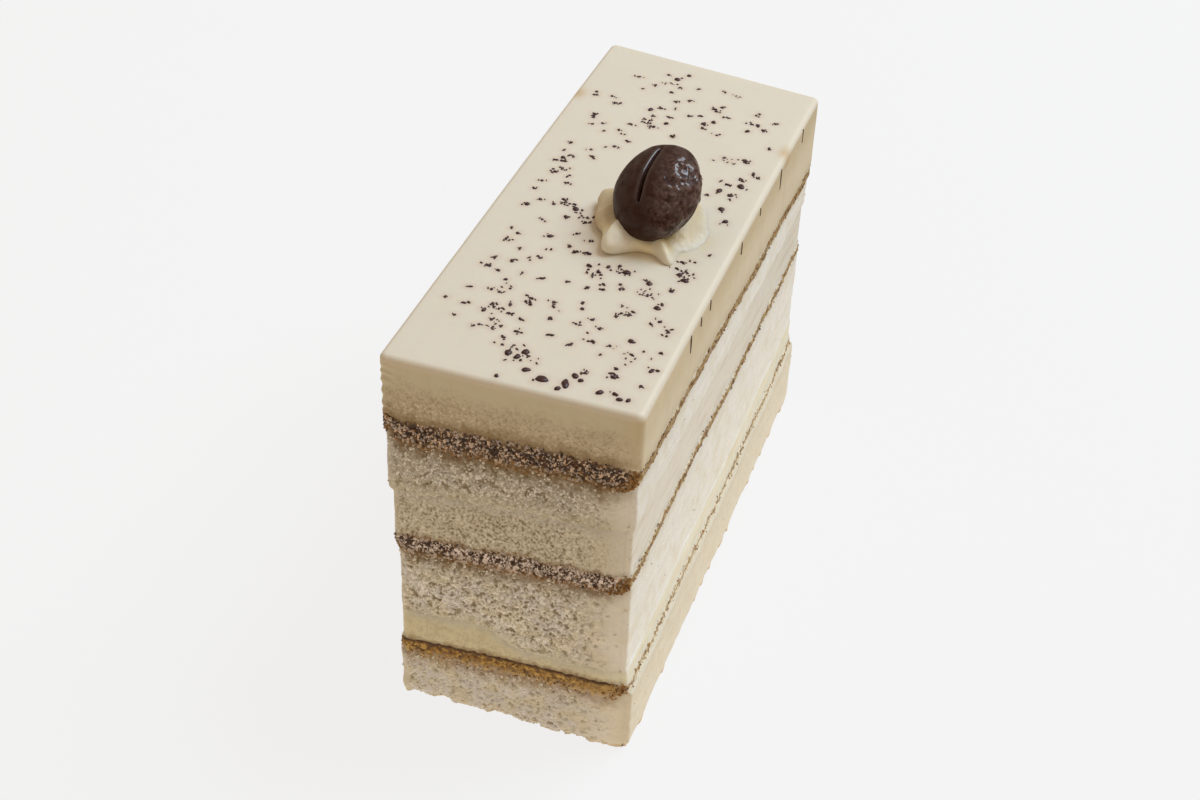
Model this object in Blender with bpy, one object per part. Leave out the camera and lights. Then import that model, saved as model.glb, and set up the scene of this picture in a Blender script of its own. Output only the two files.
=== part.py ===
"""A slice of tiramisu layer cake, standing as it was cut.

From the bottom up it has a sponge base, then three coffee-soaked seams that part cream and sponge,
and a thick smooth top of cream with chocolate specks, a piped rosette and a chocolate coffee bean.
Units are metres. The front cut looks along -Y, the slice runs back along +Y, and the origin is under
the middle of the slice, on the surface that it stands on.
"""

import math
import random

import bpy
from mathutils import Euler, Vector, noise
from mathutils.geometry import delaunay_2d_cdt

MM = 0.001

# The slice as a whole
LENGTH = 87.2 * MM
WIDTH = 32.0 * MM
BACK_SKEW = 5.0 * MM  # the back cut lies this much further forward at its right end
BACK_FLARE = 0.7 * MM  # the right side leans out this much towards the back
CORNER = 1.0 * MM  # radius of the upright edges
TOP_EDGE = 1.2 * MM  # radius of the upper edge of the top cream
GAP = 0.3 * MM  # left between pieces that touch

# Spacing of the points that carry the shape
RIM_STEP = 3.1 * MM
CORNER_STEPS = 2
INNER_STEP = 7.0 * MM
INNER_MARGIN = 4.2 * MM
ROW_SPACING = 0.87  # spacing of the rows, as a share of the spacing in a row

# Heights where one layer ends and the next starts: at the front left corner, at the front right
# corner, and how far each has risen or sunk at one third, two thirds and the whole of the way back
LEVELS = {
    "low_seam": (9.9 * MM, 11.8 * MM, (-0.6 * MM, -0.5 * MM, 1.3 * MM)),
    "mid_seam": (28.0 * MM, 30.1 * MM, (0.1 * MM, -0.6 * MM, 1.0 * MM)),
    "mid_cream": (35.2 * MM, 37.7 * MM, (-0.4 * MM, -0.9 * MM, -0.2 * MM)),
    "top_seam": (46.6 * MM, 47.1 * MM, (-0.9 * MM, -2.4 * MM, -2.9 * MM)),
    "cake_top": (55.4 * MM, 55.4 * MM, (0.0, -0.1 * MM, -0.5 * MM)),
}
WAVE = 0.22 * MM  # the slow unevenness of every spread layer
WAVE_LENGTH = 34.0 * MM
WAVE_SLANT = 0.6

# Thickness of each coffee seam inside the slice, and where the knife has smeared it at the sides
SEAM_THICKNESS = {
    "low_seam": (2.6 * MM, 1.3 * MM),
    "mid_seam": (2.9 * MM, 1.7 * MM),
    "top_seam": (3.6 * MM, 2.2 * MM),
}
SMEAR_WIDTH = 2.0 * MM

# The lowest cream is a thick wedge at the front left, and an even spread from there on
LOW_CREAM_LEFT = 5.0 * MM
LOW_CREAM_RIGHT = 2.1 * MM
LOW_CREAM_BACK = 3.2 * MM
LOW_CREAM_STEP_AT = -1.2 * MM
LOW_CREAM_STEP_WIDTH = 7.0 * MM
LOW_CREAM_WEDGE_LENGTH = 22.0 * MM

# Crumb on the cut faces
SPONGE_CRUMB = 0.45 * MM
SEAM_CRUMB = 0.28 * MM
CREAM_CRUMB = 0.1 * MM
CRUMB_SIZE = 3.5 * MM
EDGE_CRUMB = 0.45  # share of the crumb's depth along a layer's edges
CRUMB_STRIDE = 7.3  # steps through the noise from layer to layer, and from the foot to the top of one
ROW_STRIDE = 3.9
WEAR = 0.6  # how unevenly the foot is worn
CHIPPED_FOOT = 0.8 * MM  # how far the lower edge of the base is worn in
FOOT_HEIGHT = 1.1 * MM
FOOT_LIP = 0.1  # share of that wear left at the foot's height
BASE_ROW = 0.5  # where the walls of the base and of the top cream have a row, as shares of the height
TOP_ROW = 0.42
EDGE_ANGLES = (35, 65, 90)  # where the rounded top edge has rows

# The coffee bean: half its width, length and thickness, and how it lies in the rosette
BEAN_HALF = Vector((5.78 * MM, 6.67 * MM, 4.4 * MM))
BEAN_PLACE = Vector((5.2 * MM, -5.8 * MM, 61.3 * MM))
BEAN_TURN = Euler((math.radians(32.9), math.radians(-18.7), math.radians(-2.6)), "YXZ")
BEAN_RINGS = 18
BEAN_SIDES = 26
BEAN_FLATNESS = 0.86  # the creased face is flatter than the round one
CREASE_DEPTH = 1.0 * MM
CREASE_WIDTH = 0.75 * MM
CREASE_FROM = -0.54  # where the crease starts and ends, as shares of the half length
CREASE_TO = 0.78
CREASE_FADE = 0.3  # share of the half length over which it gets shallower at its ends
BEAN_CROWDING = 1.5  # how strongly the points crowd together at the crease

# The rosette: its middle, its size, and its folds as angle, reach, rise and half width
ROSETTE_PLACE = Vector((4.8 * MM, -4.0 * MM, 55.5 * MM))
ROSETTE_RADIUS = 7.6 * MM
ROSETTE_HEIGHT = 3.9 * MM
ROSETTE_TWIST = math.radians(-20)
ROSETTE_RINGS = 7
ROSETTE_SIDES = 72
ROSETTE_FOLDS = (
    (248, 2.7 * MM, 1.0, 13),
    (297, 2.4 * MM, 0.9, 8),
    (340, 0.0 * MM, 0.2, 14),
    (20, -0.6 * MM, 0.2, 18),
    (68, 0.9 * MM, 0.4, 16),
    (115, 0.6 * MM, 0.8, 14),
    (165, 1.0 * MM, 0.6, 18),
    (207, 0.4 * MM, 0.6, 14),
)
SLUMP_AT = 15  # towards this angle, and over this many degrees, the rosette has sunk to a low skirt
SLUMP_WIDTH = 65
STEEP = 0.8  # powers that shape its slope where it stands and where it has sunk
SUNK = 2.4
FOLD_DEPTH = 0.42  # share of the rosette's height between the crest of a fold and its hollow

# Chocolate specks in loose patches, in millimetres: the middle, the spread across and along, how
# many there are, and their mean width
SPECK_SEED = 29
SPECK_PATCHES = (
    (4.0, -40.8, 1.6, 0.6, 6, 1.5),
    (-1.2, -37.4, 1.0, 0.7, 5, 1.1),
    (-7.0, -29.6, 1.4, 1.2, 5, 1.0),
    (-7.5, -34.0, 1.8, 2.5, 6, 0.9),
    (-4.0, -26.0, 1.5, 1.5, 5, 0.9),
    (-4.4, -5.8, 1.6, 0.7, 5, 1.0),
    (-7.6, -3.7, 1.2, 0.6, 3, 1.0),
    (-5.0, -12.0, 2.0, 2.5, 6, 0.9),
    (2.0, -16.8, 2.4, 1.2, 7, 1.0),
    (11.2, -16.5, 1.6, 2.4, 9, 1.0),
    (11.0, -24.0, 2.2, 3.5, 10, 1.0),
    (9.0, -35.0, 3.2, 4.0, 10, 0.9),
    (12.6, 9.0, 1.2, 4.5, 12, 1.1),
    (9.3, 15.0, 1.6, 1.0, 4, 1.0),
    (8.5, 27.0, 4.0, 4.0, 8, 1.0),
    (-3.5, 23.0, 3.5, 3.5, 7, 0.9),
    (-5.0, 34.0, 2.5, 1.6, 5, 1.0),
    (-12.0, 5.0, 1.4, 8.0, 8, 0.9),
    (0.0, -5.0, 9.0, 28.0, 12, 0.8),
)
SPECK_MARGIN = 1.4 * MM
SPECK_ROOM = 0.15 * MM  # left between specks
SPECK_SIDES = 6
SPECK_RISE = 0.28 * MM
SPECK_CROWN = 0.55  # share of a speck's width that its flat crown keeps
SPECK_ROOT = 0.35 * MM
ROSETTE_ROOM = 0.5 * MM  # left between specks and the rosette


def clear_scene():
    """Removes whatever the scene holds."""
    for thing in list(bpy.data.objects):
        bpy.data.objects.remove(thing, do_unlink=True)


def paint(name, colour, roughness):
    """A plain Principled material."""
    material = bpy.data.materials.new(name)
    material.use_nodes = True
    shader = material.node_tree.nodes["Principled BSDF"]
    shader.inputs["Base Color"].default_value = (*colour, 1.0)
    shader.inputs["Roughness"].default_value = roughness
    shader.inputs["Metallic"].default_value = 0.0
    return material


def solid(name, points, faces, material, smooth=True):
    """A mesh object from points and faces."""
    mesh = bpy.data.meshes.new(name)
    mesh.from_pydata([tuple(p) for p in points], [], faces)
    mesh.materials.append(material)
    if smooth:
        mesh.shade_smooth()
        mesh.set_sharp_from_angle(angle=math.radians(45))
    thing = bpy.data.objects.new(name, mesh)
    bpy.context.scene.collection.objects.link(thing)
    return thing


def mix(a, b, t):
    return a + (b - a) * t


def ease(t):
    t = min(max(t, 0.0), 1.0)
    return t * t * (3 - 2 * t)


# Heights of the layers


def along(values, t):
    """A smooth curve through 0 and three values, evenly spaced over t from 0 to 1."""
    third, two_thirds, whole = values
    s = 3 * t
    return (
        third * s * (s - 2) * (s - 3) / 2
        - two_thirds * s * (s - 1) * (s - 3) / 2
        + whole * s * (s - 1) * (s - 2) / 6
    )


def level(name, x, y):
    """Height of a named level at a point of the plan."""
    left, right, back = LEVELS[name]
    phase = left / MM
    wave = math.sin(2 * math.pi * (y + WAVE_SLANT * x) / WAVE_LENGTH + phase)
    depth = 0.0 if name == "cake_top" else WAVE
    return mix(left, right, x / WIDTH + 0.5) + along(back, y / LENGTH + 0.5) + depth * wave


def seam_foot(name, x, y):
    """The lower side of a coffee seam, which thins out where the knife has dragged over it."""
    inside, side = SEAM_THICKNESS[name]
    from_side = WIDTH / 2 - abs(x)
    return level(name, x, y) - mix(side, inside, ease(from_side / SMEAR_WIDTH))


def low_cream(x, y):
    """The upper side of the lowest cream."""
    step = ease((x - LOW_CREAM_STEP_AT) / LOW_CREAM_STEP_WIDTH + 0.5)
    front = mix(LOW_CREAM_LEFT, LOW_CREAM_RIGHT, step)
    behind = ease((y + LENGTH / 2) / LOW_CREAM_WEDGE_LENGTH)
    return level("low_seam", x, y) + mix(front, LOW_CREAM_BACK, behind)


# The plan that all layers share


def rim_plan():
    """Points round the slice, anticlockwise from the front left, each with its outward direction."""
    half = Vector((WIDTH / 2, LENGTH / 2))
    corners = (
        Vector((-half.x, -half.y)),
        Vector((half.x, -half.y)),
        Vector((half.x, half.y - BACK_SKEW)),
        Vector((-half.x, half.y)),
    )
    rim = []
    for i, corner in enumerate(corners):
        into = (corner - corners[i - 1]).normalized()
        onward = (corners[(i + 1) % 4] - corner).normalized()
        turn = into.angle(onward)
        run = CORNER * math.tan(turn / 2)
        middle = corner - into * run + Vector((-into.y, into.x)) * CORNER
        start = math.atan2(-into.x, into.y)
        for k in range(CORNER_STEPS + 1):
            a = start + turn * k / CORNER_STEPS
            outward = Vector((math.cos(a), math.sin(a)))
            rim.append((middle + outward * CORNER, outward))
        following = corners[(i + 1) % 4]
        first = corner + onward * run
        last = following - onward * run
        steps = round((last - first).length / RIM_STEP)
        outward = Vector((onward.y, -onward.x))
        for k in range(1, steps):
            rim.append((first.lerp(last, k / steps), outward))
    return rim


def inner_plan():
    """Points inside the slice in offset rows."""
    points = []
    rows = round((LENGTH - 2 * INNER_MARGIN) / (INNER_STEP * ROW_SPACING))
    columns = round((WIDTH - 2 * INNER_MARGIN) / INNER_STEP)
    for row in range(rows + 1):
        shift = 0.5 * (row % 2)
        for column in range(columns + row % 2):
            x = mix(-1, 1, (column + 0.5 - shift) / columns) * (WIDTH / 2 - INNER_MARGIN)
            back = LENGTH - BACK_SKEW * (x / WIDTH + 0.5)
            y = mix(INNER_MARGIN, back - INNER_MARGIN, row / rows) - LENGTH / 2
            points.append(Vector((x, y)))
    return points


def plan_faces(rim, inner):
    """Triangles over the plan, as indices into the rim points followed by the inner ones."""
    points = [p / MM for p, _ in rim] + [p / MM for p in inner]
    result = delaunay_2d_cdt(points, [], [list(range(len(rim)))], 1, 1e-6)
    source = [found[0] for found in result[3]]
    return [[source[v] for v in face] for face in result[2]]


RIM = rim_plan()
INNER = inner_plan()
PLAN = plan_faces(RIM, INNER)


def even_rows(count):
    """Wall rows at even heights, each as share of the height, lift and inset."""
    return [(k / count, 0.0, 0.0) for k in range(count + 1)]


def foot_rows():
    """Wall rows of the base, whose lower edge is chipped and worn."""
    rows = [(0.0, 0.0, CHIPPED_FOOT), (0.0, FOOT_HEIGHT, FOOT_LIP * CHIPPED_FOOT)]
    return rows + [(BASE_ROW, 0.0, 0.0), (1.0, 0.0, 0.0)]


def rounded_rows():
    """Wall rows of the top cream, which end in a quarter circle."""
    rows = [(0.0, 0.0, 0.0), (TOP_ROW, 0.0, 0.0), (1.0, -TOP_EDGE, 0.0)]
    for angle in EDGE_ANGLES:
        a = math.radians(angle)
        rows.append((1.0, -TOP_EDGE * (1 - math.sin(a)), TOP_EDGE * (1 - math.cos(a))))
    return rows


def layer(number, name, floor, ceiling, reach, rows, crumb, material):
    """One layer from floor to ceiling. Its reach is how far it goes left and right, in millimetres."""
    left, right = (half * MM for half in reach)
    seed = Vector((CRUMB_STRIDE * number, 0, 0))

    def widen(p):
        flare = BACK_FLARE * (p.y / LENGTH + 0.5)
        return Vector((p.x * (right + flare if p.x > 0 else left) * 2 / WIDTH, p.y))

    points = []
    for share, lift, inset in rows:
        depth = crumb * (EDGE_CRUMB if share in (0.0, 1.0) else 1.0)
        for p, outward in RIM:
            at = Vector((p.x, p.y, 0)) / CRUMB_SIZE + seed + Vector((0, 0, share * ROW_STRIDE))
            bump = depth * noise.noise(at)
            wear = inset * (1 + WEAR * noise.noise(at * 2)) if floor is ground else inset
            q = widen(p) + outward * (bump - wear)
            low, high = floor(q.x, q.y), ceiling(q.x, q.y)
            points.append(Vector((q.x, q.y, mix(low, high, share) + lift)))
    ring = len(RIM)
    inner_low = len(points)
    points += [Vector((q.x, q.y, floor(q.x, q.y))) for q in map(widen, INNER)]
    inner_high = len(points)
    points += [Vector((q.x, q.y, ceiling(q.x, q.y))) for q in map(widen, INNER)]

    top_row = (len(rows) - 1) * ring
    low = list(range(ring)) + list(range(inner_low, inner_high))
    high = list(range(top_row, top_row + ring)) + list(range(inner_high, len(points)))
    faces = [[low[v] for v in reversed(face)] for face in PLAN]
    faces += [[high[v] for v in face] for face in PLAN]
    for row in range(len(rows) - 1):
        for i in range(ring):
            a, b = row * ring + i, row * ring + (i + 1) % ring
            faces.append([a, b, b + ring, a + ring])
    return solid(name, points, faces, material)


def ground(x, y):
    """The flat foot."""
    return 0.0


def cake_top(x, y):
    """The top of the slice."""
    return level("cake_top", x, y)


def under(surface, *where):
    """The height rule of the piece below a shared surface."""
    return lambda x, y: surface(*where, x, y) - GAP / 2


def over(surface, *where):
    """The height rule of the piece above a shared surface."""
    return lambda x, y: surface(*where, x, y) + GAP / 2


def build_layers(sponge, seam, cream):
    """The nine layers from the bottom up. Returns the top cream, which carries the specks."""
    low, mid, top = ("low_seam", "mid_seam", "top_seam")
    plans = (
        ("base_sponge", ground, under(seam_foot, low), (15.6, 16.4), foot_rows(),
         SPONGE_CRUMB, sponge),
        ("coffee_seam_low", over(seam_foot, low), under(level, low), (15.6, 15.9), even_rows(1),
         SEAM_CRUMB, seam),
        ("cream_low", over(level, low), under(low_cream), (15.3, 15.6), even_rows(2),
         CREAM_CRUMB, cream),
        ("mid_sponge", over(low_cream), under(seam_foot, mid), (15.3, 15.4), even_rows(4),
         SPONGE_CRUMB, sponge),
        ("coffee_seam_mid", over(seam_foot, mid), under(level, mid), (16.0, 15.4), even_rows(1),
         SEAM_CRUMB, seam),
        ("cream_mid", over(level, mid), under(level, "mid_cream"), (15.9, 15.2), even_rows(2),
         CREAM_CRUMB, cream),
        ("upper_sponge", over(level, "mid_cream"), under(seam_foot, top), (16.5, 15.5), even_rows(3),
         SPONGE_CRUMB, sponge),
        ("coffee_seam_top", over(seam_foot, top), under(level, top), (16.9, 15.8), even_rows(2),
         SEAM_CRUMB, seam),
        ("cream_top", over(level, top), cake_top, (17.0, 15.9), rounded_rows(),
         CREAM_CRUMB, cream),
    )
    return [layer(number, *plan) for number, plan in enumerate(plans)][-1]


# The rosette and the bean


def bean_points(grow):
    """Points and faces of the bean, grown outwards by a margin. Its length runs along Y."""
    half = BEAN_HALF + Vector((grow, grow, grow))
    points = [Vector((0, half.y, 0))]
    for ring in range(1, BEAN_RINGS):
        lengthwise = math.pi * ring / BEAN_RINGS
        for side in range(BEAN_SIDES):
            # the sides crowd together at the crease, on top
            s = 2 * side / BEAN_SIDES - 1
            around = math.pi / 2 + math.pi * math.copysign(abs(s) ** BEAN_CROWDING, s)
            x = half.x * math.sin(lengthwise) * math.cos(around)
            y = half.y * math.cos(lengthwise)
            z = half.z * math.sin(lengthwise) * math.sin(around)
            if z > 0:
                share = y / half.y
                ends = ease((share - CREASE_FROM) / CREASE_FADE) * ease((CREASE_TO - share) / CREASE_FADE)
                z = z * BEAN_FLATNESS - CREASE_DEPTH * ends * math.exp(-((x / CREASE_WIDTH) ** 2))
            points.append(Vector((x, y, z)))
    points.append(Vector((0, -half.y, 0)))
    last = len(points) - 1
    faces = []
    for side in range(BEAN_SIDES):
        beside = (side + 1) % BEAN_SIDES
        faces.append([0, 1 + beside, 1 + side])
        for ring in range(BEAN_RINGS - 2):
            a, b = 1 + ring * BEAN_SIDES + side, 1 + ring * BEAN_SIDES + beside
            faces.append([a, b, b + BEAN_SIDES, a + BEAN_SIDES])
        end = 1 + (BEAN_RINGS - 2) * BEAN_SIDES
        faces.append([last, end + side, end + beside])
    return points, faces


def build_bean(name, grow, material):
    points, faces = bean_points(grow)
    bean = solid(name, points, faces, material)
    bean.location = BEAN_PLACE
    bean.rotation_mode = "YXZ"
    bean.rotation_euler = BEAN_TURN
    return bean


def fold(angle, index):
    """How strongly one fold of the rosette acts at an angle in radians, from 0 to 1."""
    at, _, _, half_width = ROSETTE_FOLDS[index]
    off = (math.degrees(angle) - at + 180) % 360 - 180
    return math.exp(-((off / half_width) ** 2))


def rosette_reach(angle):
    """How far the rosette's foot reaches at an angle."""
    folds = range(len(ROSETTE_FOLDS))
    return ROSETTE_RADIUS + sum(ROSETTE_FOLDS[i][1] * fold(angle, i) for i in folds)


def slump(angle):
    """How far the rosette has sunk at an angle, from 0 to 1."""
    off = (math.degrees(angle) - SLUMP_AT + 180) % 360 - 180
    return math.exp(-((off / SLUMP_WIDTH) ** 2))


def build_rosette(material):
    """A piped star of folds that turn as they rise, with a flat foot."""
    points = []
    for ring in range(ROSETTE_RINGS):
        slope = math.pi / 2 * ring / ROSETTE_RINGS
        share = math.cos(slope)
        for side in range(ROSETTE_SIDES):
            angle = 2 * math.pi * side / ROSETTE_SIDES
            crest = sum(ROSETTE_FOLDS[i][2] * fold(angle, i) for i in range(len(ROSETTE_FOLDS)))
            radius = rosette_reach(angle) * share
            slope_power = mix(STEEP, SUNK, slump(angle))
            rise = ROSETTE_HEIGHT * math.sin(slope) ** slope_power * mix(1 - FOLD_DEPTH, 1, min(crest, 1))
            turned = angle + ROSETTE_TWIST * (1 - share)
            points.append(Vector((radius * math.cos(turned), radius * math.sin(turned), rise)))
    peak = len(points)
    points.append(Vector((0, 0, ROSETTE_HEIGHT * (1 - FOLD_DEPTH / 2))))
    foot = len(points)
    points.append(Vector((0, 0, 0)))
    faces = []
    for side in range(ROSETTE_SIDES):
        beside = (side + 1) % ROSETTE_SIDES
        faces.append([foot, beside, side])
        for ring in range(ROSETTE_RINGS - 1):
            a, b = ring * ROSETTE_SIDES + side, ring * ROSETTE_SIDES + beside
            faces.append([a, b, b + ROSETTE_SIDES, a + ROSETTE_SIDES])
        end = (ROSETTE_RINGS - 1) * ROSETTE_SIDES
        faces.append([peak, end + side, end + beside])
    rosette = solid("cream_rosette", points, faces, material)
    rosette.location = ROSETTE_PLACE + Vector((0, 0, GAP))
    return rosette


def press_bean(rosette, material):
    """The hollow that the bean has pressed into the rosette, a gap wider than the bean."""
    hollow = build_bean("bean_hollow", GAP, material)
    hollow.hide_render = True
    hollow.display_type = "WIRE"
    cut = rosette.modifiers.new("hollow", "BOOLEAN")
    cut.operation = "DIFFERENCE"
    cut.object = hollow


# The specks


def speck_places():
    """Middle and radius of every speck, the largest first, none on another or on the rosette."""
    draw = random.Random(SPECK_SEED)
    wanted = []
    for x, y, across, along_slice, count, width in SPECK_PATCHES:
        for _ in range(count):
            middle = Vector((draw.gauss(x, across), draw.gauss(y, along_slice))) * MM
            wanted.append((width * MM / 2 * draw.uniform(0.75, 1.25), middle))
    wanted.sort(key=lambda speck: -speck[0])
    placed = []
    for radius, middle in wanted:
        back = LENGTH / 2 - BACK_SKEW * (middle.x / WIDTH + 0.5)
        margin = SPECK_MARGIN + radius
        off_side = WIDTH / 2 - abs(middle.x) < margin
        off_end = middle.y + LENGTH / 2 < margin or back - middle.y < margin
        apart = middle - ROSETTE_PLACE.xy
        reach = rosette_reach(math.atan2(apart.y, apart.x))
        on_rosette = apart.length < reach + ROSETTE_ROOM + radius
        crowded = any((middle - q).length < radius + r + SPECK_ROOM for r, q in placed)
        if not (off_side or off_end or on_rosette or crowded):
            placed.append((radius, middle))
    return placed


def build_speck(number, radius, middle, material):
    """A low six-sided dome with its foot sunk in the cream."""
    top = cake_top(middle.x, middle.y)
    points = []
    for share, height in ((1.0, -SPECK_ROOT), (SPECK_CROWN, SPECK_RISE)):
        for side in range(SPECK_SIDES):
            angle = 2 * math.pi * side / SPECK_SIDES + number
            off = Vector((math.cos(angle), math.sin(angle))) * radius * share
            points.append(Vector((middle.x + off.x, middle.y + off.y, top + height)))
    sides = range(SPECK_SIDES)
    faces = [list(reversed(sides)), [s + SPECK_SIDES for s in sides]]
    for side in sides:
        beside = (side + 1) % SPECK_SIDES
        faces.append([side, beside, beside + SPECK_SIDES, side + SPECK_SIDES])
    return solid(f"speck_{number}", points, faces, material, smooth=False)


def fuse(host, group):
    """Makes the host and all objects of a collection one solid, and removes the collection."""
    join = host.modifiers.new("join", "BOOLEAN")
    join.operation = "UNION"
    join.operand_type = "COLLECTION"
    join.collection = group
    join.solver = "MANIFOLD"  # the exact solver leaves a stray sliver here
    join.material_mode = "TRANSFER"
    bpy.context.view_layer.update()
    evaluated = host.evaluated_get(bpy.context.evaluated_depsgraph_get())
    fused = bpy.data.meshes.new_from_object(evaluated)
    host.modifiers.remove(join)
    host.data = fused
    for thing in list(group.objects):
        bpy.data.objects.remove(thing, do_unlink=True)
    bpy.data.collections.remove(group)


def build_specks(top_cream, material):
    group = bpy.data.collections.new("specks")
    bpy.context.scene.collection.children.link(group)
    for number, (radius, middle) in enumerate(speck_places()):
        speck = build_speck(number, radius, middle, material)
        bpy.context.scene.collection.objects.unlink(speck)
        group.objects.link(speck)
    fuse(top_cream, group)


def main():
    clear_scene()
    sponge = paint("sponge", (0.66, 0.6, 0.47), 0.9)
    seam = paint("coffee_seam", (0.16, 0.09, 0.05), 0.8)
    cream = paint("cream", (0.72, 0.66, 0.52), 0.5)
    piped = paint("piped_cream", (0.7, 0.63, 0.47), 0.45)
    chocolate = paint("chocolate", (0.035, 0.016, 0.01), 0.3)
    speck = paint("chocolate_speck", (0.05, 0.016, 0.012), 0.45)
    top_cream = build_layers(sponge, seam, cream)
    build_bean("coffee_bean", 0.0, chocolate)
    rosette = build_rosette(piped)
    press_bean(rosette, piped)
    build_specks(top_cream, speck)


main()
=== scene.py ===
"""The looks of a slice of tiramisu layer cake: open crumb, coffee-soaked seams with a frost on them,
smooth cream, chocolate specks, a piped rosette and a chocolate coffee bean, on a plain pale floor.

Shapes are worked out in millimetres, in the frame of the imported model, and become metres when their
mesh is made. The front cut faces -Y, the slice runs back along +Y, and the right side faces +X.
"""
import functools
import itertools
import math
import random

import bmesh
import bpy
import numpy as np
from bpy.props import FloatProperty, FloatVectorProperty, IntProperty, PointerProperty
from mathutils import Euler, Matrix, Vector
from mathutils.geometry import delaunay_2d_cdt


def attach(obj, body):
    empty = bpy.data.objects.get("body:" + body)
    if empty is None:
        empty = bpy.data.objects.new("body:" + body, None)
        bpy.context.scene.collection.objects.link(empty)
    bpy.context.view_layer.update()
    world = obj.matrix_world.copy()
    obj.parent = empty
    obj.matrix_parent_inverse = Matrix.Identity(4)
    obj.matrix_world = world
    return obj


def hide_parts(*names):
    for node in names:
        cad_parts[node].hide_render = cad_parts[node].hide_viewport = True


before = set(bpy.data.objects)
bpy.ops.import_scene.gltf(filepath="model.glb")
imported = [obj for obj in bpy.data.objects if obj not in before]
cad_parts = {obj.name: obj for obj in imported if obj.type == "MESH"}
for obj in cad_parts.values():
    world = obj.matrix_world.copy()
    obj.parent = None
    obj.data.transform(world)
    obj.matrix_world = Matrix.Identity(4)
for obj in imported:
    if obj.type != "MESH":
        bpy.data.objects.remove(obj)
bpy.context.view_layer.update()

bl_info = {
    "name": "Tiramisu Cake Slice",
    "version": (1, 0, 0),
    "blender": (4, 5, 0),
    "location": "View3D > Sidebar > Cake",
    "description": "Dresses a slice of layer cake with crumb, cream, specks, a rosette and a bean",
    "category": "Object",
}

MM = 0.001

# The slice as a whole
LENGTH = 87.2
WIDTH = 32.0
BACK_SKEW = 5.0  # the back cut lies this much further forward at its right end
BACK_FLARE = 0.7  # the right side leans out this much towards the back
CORNER = 1.0
TOP_EDGE = 0.8

# Spacing of the points that carry the surface, and margins inside the edges of the plan
FRONT_STEP = 0.16
SIDE_STEP = 0.3
BACK_STEP = 0.24
CORNER_STEPS = 8
ROW_STEP = 0.19
TOP_STEP = 0.42
TOP_MARGIN = 1.8
HIDDEN_STEP = 2.4
HIDDEN_MARGIN = 1.6

# Heights where one layer ends and the next starts: at the front left corner, at the front right
# corner, and how far each has risen or sunk at one third, two thirds and the whole of the way back
LEVELS = {
    "low_seam": (9.9, 11.8, (-0.6, -0.5, 1.3)),
    "mid_seam": (28.0, 30.1, (0.1, -0.6, 1.0)),
    "mid_cream": (35.2, 37.7, (-0.4, -0.9, -0.2)),
    "top_seam": (46.6, 47.1, (-0.9, -2.4, -2.9)),
    "cake_top": (55.4, 55.4, (0.0, -0.1, -0.5)),
}
WAVE = 0.22
WAVE_LENGTH = 34.0
WAVE_SLANT = 0.6
SEAM_THICKNESS = {"low_seam": (2.6, 1.3), "mid_seam": (2.9, 1.7), "top_seam": (3.6, 2.2)}
SMEAR_WIDTH = 2.0

# The lowest cream is a thick wedge at the front left, and an even spread from there on
LOW_CREAM_LEFT = 5.0
LOW_CREAM_RIGHT = 2.1
LOW_CREAM_BACK = 3.2
LOW_CREAM_STEP_AT = -1.2
LOW_CREAM_STEP_WIDTH = 7.0
LOW_CREAM_WEDGE_LENGTH = 22.0

# The layers from the bottom up: the node, what it is made of, and how far it reaches left and right
LAYERS = (
    ("base_sponge", "sponge", (15.6, 16.4)),
    ("coffee_seam_low", "seam", (15.6, 15.9)),
    ("cream_low", "cream", (15.3, 15.6)),
    ("mid_sponge", "sponge", (15.3, 15.4)),
    ("coffee_seam_mid", "seam", (16.0, 15.4)),
    ("cream_mid", "cream", (15.9, 15.2)),
    ("upper_sponge", "sponge", (16.5, 15.5)),
    ("coffee_seam_top", "seam", (16.9, 15.8)),
    ("cream_top", "cream", (17.0, 15.9)),
)
TOP = len(LAYERS) - 1
NEIGHBOUR_BLEND = 0.4  # over this height a layer's wall meets its neighbour's
FAR = 9.0  # stands for being nowhere near

# Crumb and wear on the cut faces, and painted light at the front right corner
CHIPPED_FOOT = 0.8
FOOT_HEIGHT = 1.1
WORN_CORNER = 0.9  # how far the knife has pressed in the crumb at the front right corner
WORN_WIDTH = 4.0
PALE_WIDTH = 9.0  # towards that corner the crumb is paler over this width, partly pressed smooth by the knife and partly painted light that the rounded corner catches from the right
FRAYED_WIDTH = 1.6  # the front left corner has frayed over this width
WORN_SHARE = 0.85  # how much less the worn and the frayed corner count as sawn
FRAYED_SHARE = 0.35
SAWN_FROM = 0.3  # how far a wall has to face the front or the back to count as sawn
SAWN_OVER = 0.65
MEETING_DEPTH = 0.14  # the relief that two layers share where they meet
MEETING_SIZE = 0.5
TOP_CALM = 0.8  # how much calmer the wall is below the top edge, and over what height
TOP_CALM_HEIGHT = 2.0
CREAM_GRAIN = 0.38
FINE_GRAIN = 0.3
PIT_SIZE = 0.5
PIT_FROM = 0.42
PIT_EDGE = 0.3
GRAIN_EDGE = 0.8  # how far a grain reaches, as a share of its cell

# The ripples on the top cream at the front left: depth, spacing, and where they fade out
SCALLOP_DEPTH = 0.16
SCALLOP_HEIGHT = 1.5
SCALLOP_LENGTH = 4.5
SCALLOP_INSET = 1.5
SCALLOP_FADE = 1.2

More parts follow.
